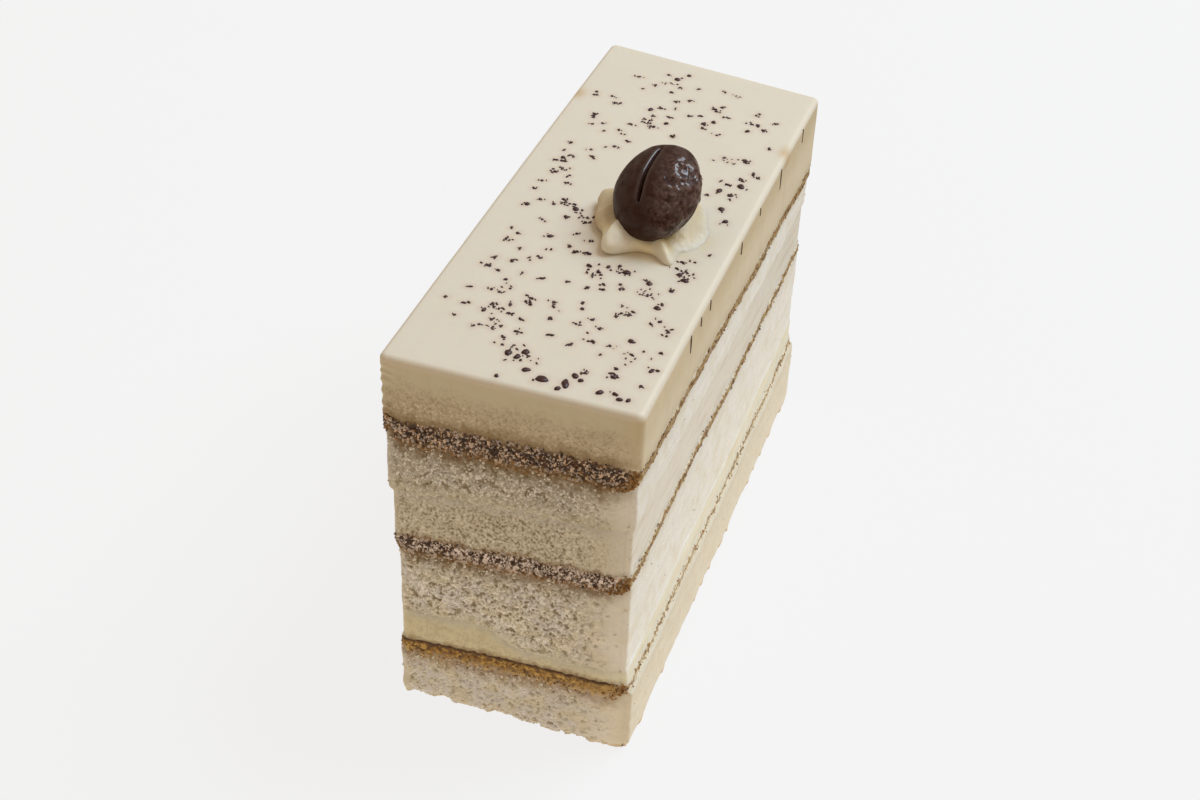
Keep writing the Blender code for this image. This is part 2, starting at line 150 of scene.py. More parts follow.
# Unevenness, as the depth and the size of each of its scales
RAG = ((0.8, 1.6), (0.8, 0.6), (0.5, 0.35))
SPONGE_SWELL = ((0.2, 3.5), (0.12, 1.5))
SEAM_SWELL = ((0.16, 2.4), (0.1, 1.0))
CREAM_SWELL = ((0.07, 4.5), (0.03, 1.8))
TOP_SWELL = ((0.07, 9.0), (0.03, 3.0))
FOOT_CHIPS = ((0.9, 1.9), (0.5, 0.8))
ROSETTE_RIPPLE = ((0.12, 1.6), (0.05, 0.6))
BEAN_SWELL = ((0.14, 3.2), (0.035, 0.9))

# The coffee bean: half its width, length and thickness, and how it lies in the rosette
BEAN_HALF = (5.78, 6.67, 4.4)
BEAN_PLACE = (5.2, -5.8, 61.3)
BEAN_TURN = Euler((math.radians(32.9), math.radians(-18.7), math.radians(-2.6)), "YXZ")
BEAN_FLATNESS = 0.86
BEAN_GROWTH = 0.12
BEAN_RINGS = 150
BEAN_SIDES = 200
WRINKLE_DEPTH = 0.19
CREASE_DEPTH = 0.3
CREASE_WIDTH = 0.75
CREASE_FADE = 0.3
CREASE_FROM = -0.6
CREASE_TO = 0.84
SLIT_WIDTH = 0.2  # the sharp slit in the crease, and the glossy lips beside it
SLIT_DEPTH = 0.9
GLOSS_WIDTH = 0.3
LIP_APART = 0.42
LIP_WIDTH = 0.2
LIP_RISE = 0.12

# The rosette: its middle, its size, and its folds as angle, reach, rise and half width
ROSETTE_PLACE = (4.8, -4.0, 55.5)
ROSETTE_RADIUS = 7.6
ROSETTE_HEIGHT = 3.9
ROSETTE_TWIST = math.radians(-20)
ROSETTE_RINGS = 70
ROSETTE_SIDES = 480
ROSETTE_FOLDS = (
    (248, 2.7, 1.0, 13),
    (297, 2.4, 0.9, 8),
    (340, 0.0, 0.2, 14),
    (20, -0.6, 0.2, 18),
    (68, 0.9, 0.4, 16),
    (115, 0.6, 0.8, 14),
    (165, 1.0, 0.6, 18),
    (207, 0.4, 0.6, 14),
)
SLUMP_AT = 15  # towards this angle, and over this many degrees, the rosette has sunk to a low skirt
SLUMP_WIDTH = 65
STEEP = 0.8  # powers that shape its slope where it stands and where it has sunk
SUNK = 2.4
SKIRT_DIP = 0.25  # how far the skirt's rim runs into the top
SKIRT_FADE = 0.35  # the share of the slump over which the standing part turns into the skirt
ROSETTE_LIFT = 0.9  # the fold's lip over the foot, how far it is drawn in below, and where it starts
ROSETTE_UNDERCUT = 3.2
ROSETTE_LOWEST_SLOPE = -0.32
ROSETTE_SINK = 0.4
SHADED_AT = 190  # the side that lies in shade, and over how many degrees
SHADED_WIDTH = 38
FOLD_LEANS = (0.6, -0.5, 0.0, 0.0, 0.0, 0.3, 0.3, 0.3)  # how much steeper each is on its clockwise side
LEAN_OVER = 4
FOLD_DEPTH = 0.42

# Chocolate specks in loose patches: the middle, the spread across and along, how many there are,
# and their mean width
SPECK_SEED = 29
SPECK_PATCHES = (
    (4.0, -40.8, 1.6, 0.6, 6, 1.5),
    (-1.2, -37.4, 1.0, 0.7, 5, 1.1),
    (-7.0, -29.6, 1.4, 1.2, 5, 1.0),
    (-7.5, -34.0, 1.8, 2.5, 6, 0.9),
    (-4.0, -26.0, 1.5, 1.5, 5, 0.9),
    (-4.4, -5.8, 1.6, 0.7, 5, 1.0),
    (-7.6, -3.7, 1.2, 0.6, 3, 1.0),
    (-5.0, -12.0, 2.0, 2.5, 6, 0.9),
    (2.0, -16.8, 2.4, 1.2, 7, 1.0),
    (11.2, -16.5, 1.6, 2.4, 9, 1.0),
    (11.0, -24.0, 2.2, 3.5, 10, 1.0),
    (9.0, -35.0, 3.2, 4.0, 10, 0.9),
    (12.6, 9.0, 1.2, 4.5, 12, 1.1),
    (9.3, 15.0, 1.6, 1.0, 4, 1.0),
    (8.5, 27.0, 4.0, 4.0, 8, 1.0),
    (-3.5, 23.0, 3.5, 3.5, 7, 0.9),
    (-5.0, 34.0, 2.5, 1.6, 5, 1.0),
    (-12.0, 5.0, 1.4, 8.0, 8, 0.9),
    (0.0, -5.0, 9.0, 28.0, 12, 0.8),
)
SPECK_MARGIN = 1.4
SPECK_ROOM = 0.15
ROSETTE_ROOM = 0.5
SOLID_SPECK_FROM = 0.62  # specks of a larger radius are one drop, and others often a few small dots
SOLID_SPECK_SHARE = 0.35
FRONT_ROW = 4.5  # this near the front edge all specks are one drop
DUST = (  # heaps of small dots: the middle, the spread across and along, and how many there are
    (-1.1, -37.6, 0.9, 0.6, 20),
    (-2.0, -36.3, 0.5, 0.4, 8),
    (-4.3, -5.8, 0.9, 0.4, 14),
    (-7.6, -3.7, 0.5, 0.3, 7),
    (-6.4, -32.5, 0.7, 0.4, 8),
    (-7.1, -29.4, 0.8, 0.4, 12),
    (4.2, -16.1, 0.8, 0.5, 12),
    (1.0, -17.5, 0.8, 0.4, 8),
    (-5.3, 33.8, 0.7, 0.5, 8),
    (-4.5, 21.9, 0.7, 0.4, 8),
    (9.3, 15.1, 0.6, 0.4, 8),
    (13.1, -26.5, 0.6, 0.9, 8),
    (9.0, -20.0, 0.9, 0.8, 10),
    (4.0, -29.0, 1.4, 1.0, 8),
    (11.0, -33.0, 1.2, 1.2, 12),
    (12.0, -14.0, 0.8, 1.2, 12),
)
FINE_SPECKS = (  # small heaps strewn wide: the middle, the spread across and along, how many heaps
    (-5.0, -20.0, 3.0, 5.0, 12),
    (0.0, -27.0, 4.0, 4.0, 12),
    (6.0, -24.0, 4.0, 5.0, 14),
    (9.0, -34.0, 4.0, 4.0, 10),
    (-9.0, -31.0, 2.5, 3.0, 7),
    (-10.0, -8.0, 2.5, 8.0, 8),
    (-11.0, 8.0, 2.0, 7.0, 7),
    (12.5, 4.0, 1.4, 10.0, 12),
    (4.0, 27.0, 7.0, 6.0, 16),
    (-6.0, 20.0, 4.0, 8.0, 8),
    (0.0, 8.0, 6.0, 5.0, 4),
    (-12.0, -20.0, 1.5, 6.0, 6),
    (-12.0, 20.0, 1.5, 7.0, 6),
)
FRONT_DROPS = (  # the large drops near the front edge: place across and along, radius
    (3.6, -41.3, 0.6),
    (2.1, -41.8, 0.4),
    (4.9, -42.0, 0.38),
    (5.0, -39.9, 0.42),
    (6.0, -39.0, 0.46),
    (6.9, -39.6, 0.34),
    (-2.5, -42.3, 0.3),
    (12.2, -41.4, 0.36),
    (13.2, -41.2, 0.32),
)
SMEARS = (  # where the knife dragged specks down the right side: place along it, how far down, width
    (-25.3, 2.6, 0.34),
    (-21.1, 1.4, 0.26),
    (-17.1, 1.6, 0.3),
    (-2.9, 1.9, 0.3),
    (6.1, 1.2, 0.26),
    (17.0, 3.2, 0.3),
    (29.0, 2.2, 0.24),
)
SMEAR_TOP = 0.75  # below the top, where the edge has turned down
SMEAR_SIDES = 8
SMEAR_ROWS = 9
SMEAR_THINNEST = 0.03
SMEAR_THICKNESS = 0.1

# The foot and the slope of a drop, as shares of its radius and of its height
DROP_PROFILE = ((0.9, -0.16), (1.0, 0.02), (0.82, 0.62), (0.5, 0.93))
DROP_SIDES = (9, 18)
DROP_SIDES_PER_MM = 26
DOT_RADII = (0.08, 0.2)
CORE_RADII = (0.18, 0.3)  # the largest dot of a small heap
DOT_MARGIN = 1.2  # room between the small dots and the edges, and between them and the rosette
DOT_ROSETTE_ROOM = 0.3

# How much painted bounce light each sponge's sawn front takes at its floor and at its ceiling, and how
# frosted each seam is
SPONGE_PAINTED_BOUNCE = {0: (0.92, 0.82), 3: (1.2, 0.68), 6: (0.38, 0.06)}
SEAM_FROST = {1: 0.0, 4: 1.0, 7: 0.85}

# The fillings: the layer, its finish, the tint of its cream and how coarse its sawn grain is
FILLINGS = (
    (2, "cream_low_finish", (1.03, 1.03, 0.95), 0.25),
    (5, "cream_mid_finish", (0.95, 0.95, 1.02), 0.9),
)

# The tan stains on the top's edges, and the painted golden shadow round the rosette's foot: middle and
# reach
STAINS = ((-16.2, 25.9, 0.9, 1.5), (16.0, 20.6, 0.9, 1.5))
STAIN_STRENGTH = 0.6
STAIN_DEPTH = 2.0
GOLDEN_PAINTED_SHADOW = ((9.6, -9.6, 2.2, 1.6), (6.4, -12.4, 2.6, 0.9), (12.0, -6.0, 1.5, 2.5))
HALO_WIDTH = 0.45

# The hollow that the bean presses in the rosette: room round the bean, and its rings and sides
HOLLOW_ROOM = 0.02
HOLLOW_RINGS = 60
HOLLOW_SIDES = 90

# Loose grains
GRAIN_SEED = 7
GRAIN_SPREAD = 0.35
GRAIN_SINK = 0.62  # the share of a grain's width that is sunk in the wall

# The camera: its place, its turn in degrees and its lens, and how near it sees, in metres
CAMERA_PLACE = (60.54, -204.74, 186.39)
CAMERA_TURN = (52.38, -2.04, 18.8)
CAMERA_LENS = 56.44
CAMERA_NEAR = 0.01

# The floor, in metres: where it is flat, the bend that turns it up, and the top of the backdrop
FLOOR_RINGS = (0.3, 0.8, 1.4)
FLOOR_BEND = 0.6
FLOOR_BEND_ANGLES = (0.2, 1.57, 8)  # the first and the last along the bend, and how many
FLOOR_TOP = (2.0, 2.4)
FLOOR_SIDES = 48
FLOOR_SHADE = 0.1  # how much of its colour it takes from the light, and how much it gives itself
FLOOR_GLOW = 0.9

# The light, in metres and watts
ROOM_COLOUR = (0.49, 0.395, 0.3, 1.0)
KEY_SIDE = (0.42, 0.36, 0.83)
KEY_AWAY = 0.9
KEY_SIZE = 0.6
KEY_POWER = 7.0
KEY_COLOUR = (0.72, 0.86, 1.0)
BOUNCE_PLACE = (-0.02, -0.03, -0.001)
BOUNCE_SIZE = (0.17, 0.226)
BOUNCE_POWER = 0.05
BOUNCE_COLOUR = (1.0, 0.89, 0.74)

# Places of the sockets of a Mix node that mixes colours
MIX_FIRST = 6
MIX_SECOND = 7
MIX_RESULT = 2


def mix(a, b, t):
    return a + (b - a) * t


def ease(t):
    t = np.clip(t, 0.0, 1.0)
    return t * t * (3 - 2 * t)


def bell(t):
    """1 at 0, falling off to both sides."""
    return np.exp(-(t**2))


# Repeatable noise


SCRAMBLERS = (73856093, 19349663, 83492791, 40503)  # large odd numbers that mix up a cell's place
LAST_SCRAMBLER = 1274126177
LARGEST = 0xFFFFFF


def draw(cells, seed):
    """A number from 0 to 1 for each whole-number cell."""
    x, y, z = (cells[..., i] * SCRAMBLERS[i] for i in range(3))
    n = x ^ y ^ z ^ (seed * SCRAMBLERS[3])
    n = ((n ^ (n >> 13)) & 0xFFFFFFFF) * LAST_SCRAMBLER
    n = (n ^ (n >> 16)) & LARGEST
    return n / LARGEST


def noise(at, size, seed):
    """Smooth noise from -1 to 1 with features of a given size."""
    at = at / size
    cell = np.floor(at).astype(np.int64)
    t = ease(at - cell)
    total = 0.0
    for corner in itertools.product((0, 1), repeat=3):
        weight = np.prod(np.where(corner, t, 1 - t), axis=-1)
        total = total + weight * draw(cell + np.array(corner), seed)
    return 2 * total - 1


def swell(at, scales, seed, apart=1):
    """Noise of several scales added up, each a depth and a size."""
    return sum(depth * noise(at, size, seed + apart * i) for i, (depth, size) in enumerate(scales))


def grains(at, size, seed):
    """How near the middle of a grain each point is, from 0 to 1, and that grain's own number."""
    at = at / size
    cell = np.floor(at).astype(np.int64)
    nearest = np.full(at.shape[:-1], FAR)
    own = np.zeros(at.shape[:-1])
    for step in itertools.product((-1, 0, 1), repeat=3):
        there = cell + np.array(step)
        middle = there + np.stack([draw(there, seed + k) for k in range(3)], axis=-1)
        apart = np.linalg.norm(at - middle, axis=-1)
        closer = apart < nearest
        nearest = np.where(closer, apart, nearest)
        own = np.where(closer, draw(there, seed + 3), own)
    return np.clip(1 - nearest / GRAIN_EDGE, 0, 1), own


# Heights of the layers


def along(values, t):
    """A smooth curve through 0 and three values, evenly spaced over t from 0 to 1."""
    third, two_thirds, whole = values
    s = 3 * t
    return (
        third * s * (s - 2) * (s - 3) / 2
        - two_thirds * s * (s - 1) * (s - 3) / 2
        + whole * s * (s - 1) * (s - 2) / 6
    )


def level(name, x, y):
    """Height of a named level at points of the plan."""
    left, right, back = LEVELS[name]
    wave = np.sin(2 * math.pi * (y + WAVE_SLANT * x) / WAVE_LENGTH + left)
    depth = 0.0 if name == "cake_top" else WAVE
    return mix(left, right, x / WIDTH + 0.5) + along(back, y / LENGTH + 0.5) + depth * wave


def seam_foot(name, x, y):
    """The lower side of a coffee seam, which thins out where the knife has dragged over it."""
    inside, side = SEAM_THICKNESS[name]
    from_side = WIDTH / 2 - abs(x)
    return level(name, x, y) - mix(side, inside, ease(from_side / SMEAR_WIDTH))


def low_cream(x, y):
    """The upper side of the lowest cream."""
    step = ease((x - LOW_CREAM_STEP_AT) / LOW_CREAM_STEP_WIDTH + 0.5)
    front = mix(LOW_CREAM_LEFT, LOW_CREAM_RIGHT, step)
    behind = ease((y + LENGTH / 2) / LOW_CREAM_WEDGE_LENGTH)
    return level("low_seam", x, y) + mix(front, LOW_CREAM_BACK, behind)


# The lower side of each layer from the base up, and last the top of the cake
SURFACES = (
    lambda x, y: 0.0 * x,
    functools.partial(seam_foot, "low_seam"),
    functools.partial(level, "low_seam"),
    low_cream,
    functools.partial(seam_foot, "mid_seam"),
    functools.partial(level, "mid_seam"),
    functools.partial(level, "mid_cream"),
    functools.partial(seam_foot, "top_seam"),
    functools.partial(level, "top_seam"),
    functools.partial(level, "cake_top"),
)
LEVELS_AT_MIDDLE = [float(surface(np.float64(0), np.float64(-LENGTH / 2))) for surface in SURFACES]
RAGGED = (0.0, 0.4, 0.12, 0.25, 0.32, 0.36, 0.5, 0.5, 0.42, 0.0)  # how ragged each one is at a cut


def border(number, x, y, cut):
    """A shared surface, ragged where the slice is cut and calmer along its sides."""
    at = np.stack([x, y, 0 * x + 7.3 * number], axis=-1)
    rag = swell(at, RAG, number, apart=10)
    return SURFACES[number](x, y) + RAGGED[number] * mix(0.3, 1.0, cut) * rag


# The plan that all layers share


def rim_plan():
    """Points round the slice, anticlockwise from the front left, and their outward directions."""
    corners = (
        Vector((-WIDTH / 2, -LENGTH / 2)),
        Vector((WIDTH / 2, -LENGTH / 2)),
        Vector((WIDTH / 2, LENGTH / 2 - BACK_SKEW)),
        Vector((-WIDTH / 2, LENGTH / 2)),
    )
    steps = (FRONT_STEP, SIDE_STEP, BACK_STEP, SIDE_STEP)
    ways = [(corners[(i + 1) % 4] - corners[i]).normalized() for i in range(4)]
    turns = [ways[i - 1].angle(ways[i]) for i in range(4)]
    runs = [CORNER * math.tan(turn / 2) for turn in turns]
    points, directions = [], []
    for i, corner in enumerate(corners):
        into, onward = ways[i - 1], ways[i]
        middle = corner - into * runs[i] + Vector((-into.y, into.x)) * CORNER
        start = math.atan2(-into.x, into.y)
        for k in range(CORNER_STEPS + 1):
            a = start + turns[i] * k / CORNER_STEPS
            outward = Vector((math.cos(a), math.sin(a)))
            points.append(middle + outward * CORNER)
            directions.append(outward)
        first = corner + onward * runs[i]
        last = corners[(i + 1) % 4] - onward * runs[(i + 1) % 4]
        count = round((last - first).length / steps[i])
        for k in range(1, count):
            points.append(first.lerp(last, k / count))
            directions.append(Vector((onward.y, -onward.x)))
    return np.array(points), np.array(directions)


def inner_plan(step, margin):
    """Points inside the slice in rows that are offset from each other."""
    points = []
    rows = round((LENGTH - 2 * margin) / step)
    columns = round((WIDTH - 2 * margin) / step)
    for row in range(rows + 1):
        shift = 0.5 * (row % 2)
        for column in range(columns + row % 2):
            x = mix(-1, 1, (column + 0.5 - shift) / columns) * (WIDTH / 2 - margin)
            back = LENGTH - BACK_SKEW * (x / WIDTH + 0.5)
            points.append((x, mix(margin, back - margin, row / rows) - LENGTH / 2))
    return np.array(points)


def plan_faces(rim, inner):
    """Triangles over the plan, as indices into the rim points followed by the inner ones."""
    points = [Vector(p) for p in np.concatenate([rim, inner])]
    result = delaunay_2d_cdt(points, [], [list(range(len(rim)))], 1, 1e-4)
    source = np.array([found[0] for found in result[3]])
    return source[np.array(result[2])]


RIM, OUTWARD = rim_plan()
HIDDEN = inner_plan(HIDDEN_STEP, HIDDEN_MARGIN)
HIDDEN_FACES = plan_faces(RIM, HIDDEN)


def widen(x, y, left, right):
    """Places of plan points in a layer that reaches so far left and right."""
    flare = BACK_FLARE * (y / LENGTH + 0.5)
    return x * np.where(x > 0, right + flare, left) * 2 / WIDTH


# How much each point of the rim belongs to a sawn face, to the worn front right corner, and to the paler
# crumb near it, which is partly painted light
FRONTAL = ease(-OUTWARD[:, 1])
WORN = FRONTAL * np.clip(1 - (WIDTH / 2 - RIM[:, 0]) / WORN_WIDTH, 0, 1)
PALE = FRONTAL * np.clip(1 - (WIDTH / 2 - RIM[:, 0]) / PALE_WIDTH, 0, 1)
FRAYED = FRONTAL * (1 - ease((WIDTH / 2 + RIM[:, 0]) / FRAYED_WIDTH))
SAWN = ease((abs(OUTWARD[:, 1]) - SAWN_FROM) / SAWN_OVER)
CUT = SAWN * (1 - WORN_SHARE * ease(WORN)) * (1 - FRAYED_SHARE * FRAYED)


# Relief of the walls


def sponge_relief(at, seed, cut, sizes):
    """Rounded grains, small pits and a slow unevenness; along the sides the knife has pressed it."""
    depth = sizes.crumb_depth / MM
    slow = swell(at, SPONGE_SWELL, seed)
    dome, pick = grains(at, sizes.crumb_size / MM, seed + 2)
    dome = dome * (0.4 + 0.9 * pick)
    open_patch = 0.5 + 0.5 * noise(at, 4.0, seed + 5)
    pits = ease((noise(at, PIT_SIZE, seed + 6) - PIT_FROM + 0.2 * open_patch) / PIT_EDGE) * cut**3
    fine = noise(at, FINE_GRAIN, seed + 7)
    drag = noise(at * (1, 0.12, 1), 0.5, seed + 8)
    sawn = depth * (dome - 1.2 * pits + 0.5 * fine)
    pressed = 0.04 * drag + depth * (0.15 * dome - 0.1 * pits)
    # painted shade and light: the tone darkens the pits and lightens the grain tops where the crumb was
    # sawn, with random tone from the fine noise
    tone_and_shade = mix(0.3 * drag + 0.3 * dome - 0.2 * pits, 1.2 * dome - 1.0 * pits + 0.6 * fine, cut)
    return slow * mix(0.5, 1.0, cut) + mix(pressed, sawn, cut), tone_and_shade, pick


def seam_relief(at, seed, cut, sizes):
    """Damp grains that stand out of a soaked ground."""
    depth = sizes.seam_depth / MM
    slow = swell(at, SEAM_SWELL, seed)
    dome, pick = grains(at, sizes.seam_size / MM, seed + 2)
    fine = noise(at, FINE_GRAIN, seed + 7)
    # the second value is painted light on the grain tops and painted shade between them, with random tone
    # from the fine noise
    return slow + depth * mix(0.35, 1.0, cut) * (dome + 0.3 * fine), dome + 0.2 * fine, pick


def cream_relief(at, seed, cut, sizes):
    """Smooth cream with a fine frosty grain where it was sawn, and drag lines along the sides."""
    slow = swell(at, CREAM_SWELL, seed)
    dome, pick = grains(at, CREAM_GRAIN, seed + 2)
    drag = noise(at * (1, 0.1, 1), 0.6, seed + 8)
    grainy = cut * graininess(at, seed)
    # painted shade and light: on sawn cream the tone is lighter on the grains and darker between them;
    # along the sides it follows the drag lines
    tone_and_shade = mix(0.4 * drag, dome - 0.2, grainy)
    return slow + mix(0.025 * drag, sizes.frost_depth / MM * dome, grainy), tone_and_shade, pick


def graininess(at, seed):
    """How grainy sawn cream is: the top cream in its lower half, the lowest cream at the right."""
    x, z = at[..., 0], at[..., 2]
    patchy = 0.25 * noise(at, 3.0, seed + 9)
    if seed == SEEDS["cream_top"]:
        return ease((LEVELS["cake_top"][0] - 3.0 - z) / 4 + patchy)
    if seed == SEEDS["cream_low"]:
        return ease((x + 3) / 8 + patchy)
    return ease(0.9 + patchy)


SEEDS = {name: 100 * number for number, (name, _, _) in enumerate(LAYERS)}
RELIEFS = {"sponge": sponge_relief, "seam": seam_relief, "cream": cream_relief}


def foot_wear(at, cut):
    """How far the lowest edge of the base has crumbled away."""
    low = 1 - ease(at[..., 2] / FOOT_HEIGHT)
    flat = at * (1, 1, 0)
    chips = 0.9 + swell(flat, FOOT_CHIPS, 5)
    return CHIPPED_FOOT * low * np.clip(chips, 0.1, 2.2) * mix(0.55, 0.8, cut)


def scallops(at):
    """Ripples that the knife left on the top cream at the front left."""
    near = 1 - ease((at[..., 1] + LENGTH / 2) / SCALLOP_LENGTH)
    left = ease((-at[..., 0] - WIDTH / 2 + SCALLOP_INSET) / SCALLOP_FADE)
    waves = abs(np.sin(math.pi * at[..., 2] / SCALLOP_HEIGHT + 2 * noise(at, 2.0, 3)))
    return SCALLOP_DEPTH * near * left * waves


@functools.lru_cache(maxsize=None)
def wall(number):
    """A layer's wall in rows from its floor up: points, outward directions and fields for its finish."""
    sizes = bpy.context.scene.cake_sizes
    name, kind, reach = LAYERS[number]
    x, y = RIM.T
    own = widen(x, y, *reach)
    floor = SURFACES[number](own, y)
    edge = TOP_EDGE if number == TOP else 0.0
    ceiling = SURFACES[number + 1](own, y) - edge
    height = ceiling - floor
    rows = max(3, round(height.mean() / ROW_STEP))
    share = np.arange(rows + 1)[:, None] / rows
    down, up = share * height, (1 - share) * height
    by_floor = 1 - ease(down / NEIGHBOUR_BLEND) if number > 0 else 0 * down
    by_ceiling = 1 - ease(up / NEIGHBOUR_BLEND) if number < TOP else 0 * up

    def shared(values):
        """A value that meets its neighbours' halfway."""
        below, above = values[max(number - 1, 0)], values[min(number + 1, TOP)]
        mine = values[number]
        return mine + 0.5 * by_floor * (below - mine) + 0.5 * by_ceiling * (above - mine)

    left = shared([layer[2][0] for layer in LAYERS])
    right = shared([layer[2][1] for layer in LAYERS])
    pressed = shared([0.0 if i == TOP else 1.0 for i in range(TOP + 1)])
    x = widen(x, y, left, right)
    y = y + 0 * x
    cut = CUT + 0 * x
    at = np.stack([x, y, mix(floor, ceiling, share)], axis=-1)
    relief, tone_and_shade, pick = RELIEFS[kind](at, SEEDS[name], cut, sizes)
    for k, weight in ((number, by_floor), (number + 1, by_ceiling)):
        meeting = MEETING_DEPTH * noise(np.stack([x, y, 0 * x + 9.1 * k], axis=-1), MEETING_SIZE, k)
        relief = mix(relief, meeting * (0.3 + 0.7 * cut), weight)
    relief = relief - WORN_CORNER * WORN**2 * pressed
    if number == 0:
        relief = relief - foot_wear(at, cut)
    if number == TOP:
        relief = relief - scallops(at)
        relief = relief * (1 - TOP_CALM * ease(1 - up / TOP_CALM_HEIGHT))
    out = np.broadcast_to(OUTWARD, (*relief.shape, 2))
    q = np.stack([x, y], axis=-1) + out * relief[..., None]
    low = border(number, q[..., 0], q[..., 1], cut)
    high = border(number + 1, q[..., 0], q[..., 1], cut) - edge
    points = np.concatenate([q, mix(low, high, share)[..., None]], axis=-1)
    fields = {"cut": cut, "tone_and_shade": tone_and_shade, "pick": pick, "down": down, "up": up + edge}
    # paler towards the front right corner: pressed crumb, and painted light that the rounded corner catches
    # from the right
    fields["worn"] = ease(PALE) + 0 * x
    fields["across"] = x / WIDTH + 0.5
    return points, out, fields


def rounded_rows(points):
    """Rows that carry the top cream's wall over its rounded edge."""
    last = points[-1]
    rows = []
    for k in range(1, CORNER_STEPS + 1):
        a = math.pi / 2 * k / CORNER_STEPS
        inset = TOP_EDGE * (1 - math.cos(a))
        row = last.copy()
        row[:, :2] -= OUTWARD * inset
        row[:, 2] += TOP_EDGE * math.sin(a)
        rows.append(row)
    return np.concatenate([points, np.array(rows)])


def ring_quads(rows, ring, turned=False):
    """Faces between rows of points that go round. Turned ones face the other way."""
    a = np.arange((rows - 1) * ring).reshape(rows - 1, ring)
    b = np.roll(a, -1, axis=1)
    corners = [a, a + ring, b + ring, b] if turned else [a, b, b + ring, a + ring]
    return np.stack(corners, axis=-1).reshape(-1, 4)


# Making pieces


def sharpen(mesh, rims):
    """Keeps the shading of walls and caps apart along some rims, each given as first and last point."""
    ends = np.empty(2 * len(mesh.edges), dtype=np.int32)
    mesh.edges.foreach_get("vertices", ends)
    ends = ends.reshape(-1, 2)
    sharp = np.zeros(len(ends), dtype=bool)
    for first, last in rims:
        sharp |= ((ends >= first) & (ends < last)).all(axis=1)
    mesh.attributes.new("sharp_edge", "BOOLEAN", "EDGE").data.foreach_set("value", sharp)


def make_piece(name, points, faces, material, fields=None, smooth=True):
    """A mesh object from points in millimetres, riding on the slice."""
    mesh = bpy.data.meshes.new(name)
    mesh.from_pydata((np.asarray(points) * MM).tolist(), [], faces)
    for key, values in (fields or {}).items():
        held = mesh.attributes.new(key, "FLOAT", "POINT")
        held.data.foreach_set("value", np.asarray(values, np.float32).ravel())
    mesh.materials.append(material)
    if smooth:
        mesh.shade_smooth()
    if not mesh.polygons:
        raise RuntimeError(f"{name} has no faces")
    piece = bpy.data.objects.new(name, mesh)
    bpy.context.scene.collection.objects.link(piece)
    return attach(piece, "root")


def make_layer(number, material, extra=None):
    """The finely shaped piece that stands for a layer."""
    name, kind, reach = LAYERS[number]
    points, _, fields = wall(number)
    rows, ring = points.shape[:2]
    if number == TOP:
        points = rounded_rows(points)
        added = len(points) - rows
        fields = {k: np.concatenate([v, np.repeat(v[-1:], added, 0)]) for k, v in fields.items()}
        fields["up"][rows:] = 0
        rows += added
    inner_high, high_faces = (HIDDEN, HIDDEN_FACES) if number < TOP else top_plan()
    caps = []
    for k, inner in ((number, HIDDEN), (number + 1, inner_high)):
        x = widen(inner[:, 0], inner[:, 1], *reach)
        z = SURFACES[k](x, inner[:, 1])
        caps.append(np.stack([x, inner[:, 1], z], axis=-1))
    if number == TOP:
        caps[1][:, 2] += top_relief(caps[1])
    everything = np.concatenate([points.reshape(-1, 3), *caps])
    low = np.concatenate([np.arange(ring), rows * ring + np.arange(len(HIDDEN))])
    high = np.concatenate([
        (rows - 1) * ring + np.arange(ring),
        rows * ring + len(HIDDEN) + np.arange(len(inner_high)),
    ])
    faces = ring_quads(rows, ring).tolist()
    faces += low[HIDDEN_FACES[:, ::-1]].tolist()
    faces += high[high_faces].tolist()
    ends = {"down": (0.0, FAR), "up": (FAR, 0.0)}
    whole = extra(everything) if extra else {}
    for key, values in fields.items():
        first, last = ends.get(key, (0.0, 0.0))
        flat = (values.ravel(), np.full(len(HIDDEN), first), np.full(len(inner_high), last))
        whole[key] = np.concatenate(flat)
    piece = make_piece(f"{name}_cut", everything, faces, material, whole)
    rims = [(0, ring)] if number == TOP else [(0, ring), ((rows - 1) * ring, rows * ring)]
    sharpen(piece.data, rims)
    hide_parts(name)
    return piece


@functools.lru_cache(maxsize=None)
def top_plan():
    """The fine points of the top and its faces."""
    inner = inner_plan(TOP_STEP, TOP_MARGIN)
    return inner, plan_faces(RIM, inner)


def top_relief(at):
    """The slight unevenness of the spread top."""
    flat = at * (1, 1, 0)
    edge = ease((WIDTH / 2 - TOP_MARGIN - abs(at[..., 0])) / 2)
    return edge * swell(flat, TOP_SWELL, 1)


# Outline of the rosette


def degrees_from(angle, at):
    """How far an angle in radians is turned from one in degrees, from -180 to 180."""
    return (np.degrees(angle) - at + 180) % 360 - 180


def fold(angle, index, lean=0.0):
    """How strongly one fold of the rosette acts at an angle in radians, from 0 to 1."""
    at, _, _, half_width = ROSETTE_FOLDS[index]
    off = degrees_from(angle, at)
    return bell(off / (half_width * (1 + lean * np.tanh(off / LEAN_OVER))))


def slump(angle):
    """How far the rosette has sunk at an angle, from 0 to 1."""
    return bell(degrees_from(angle, SLUMP_AT) / SLUMP_WIDTH)


def rosette_reach(angle):
    """How far the rosette's foot reaches at an angle."""
    folds = range(len(ROSETTE_FOLDS))
    return ROSETTE_RADIUS + sum(ROSETTE_FOLDS[i][1] * fold(angle, i) for i in folds)


# Specks


def back_edge(x):
    """How far back the slice reaches at a place across it."""
    return LENGTH / 2 - BACK_SKEW * (x / WIDTH + 0.5)


def clear_of_rosette(place, room):
    """Whether a place on the top keeps some room to the rosette."""
    apart = place - Vector(ROSETTE_PLACE).xy
    return apart.length >= rosette_reach(math.atan2(apart.y, apart.x)) + room


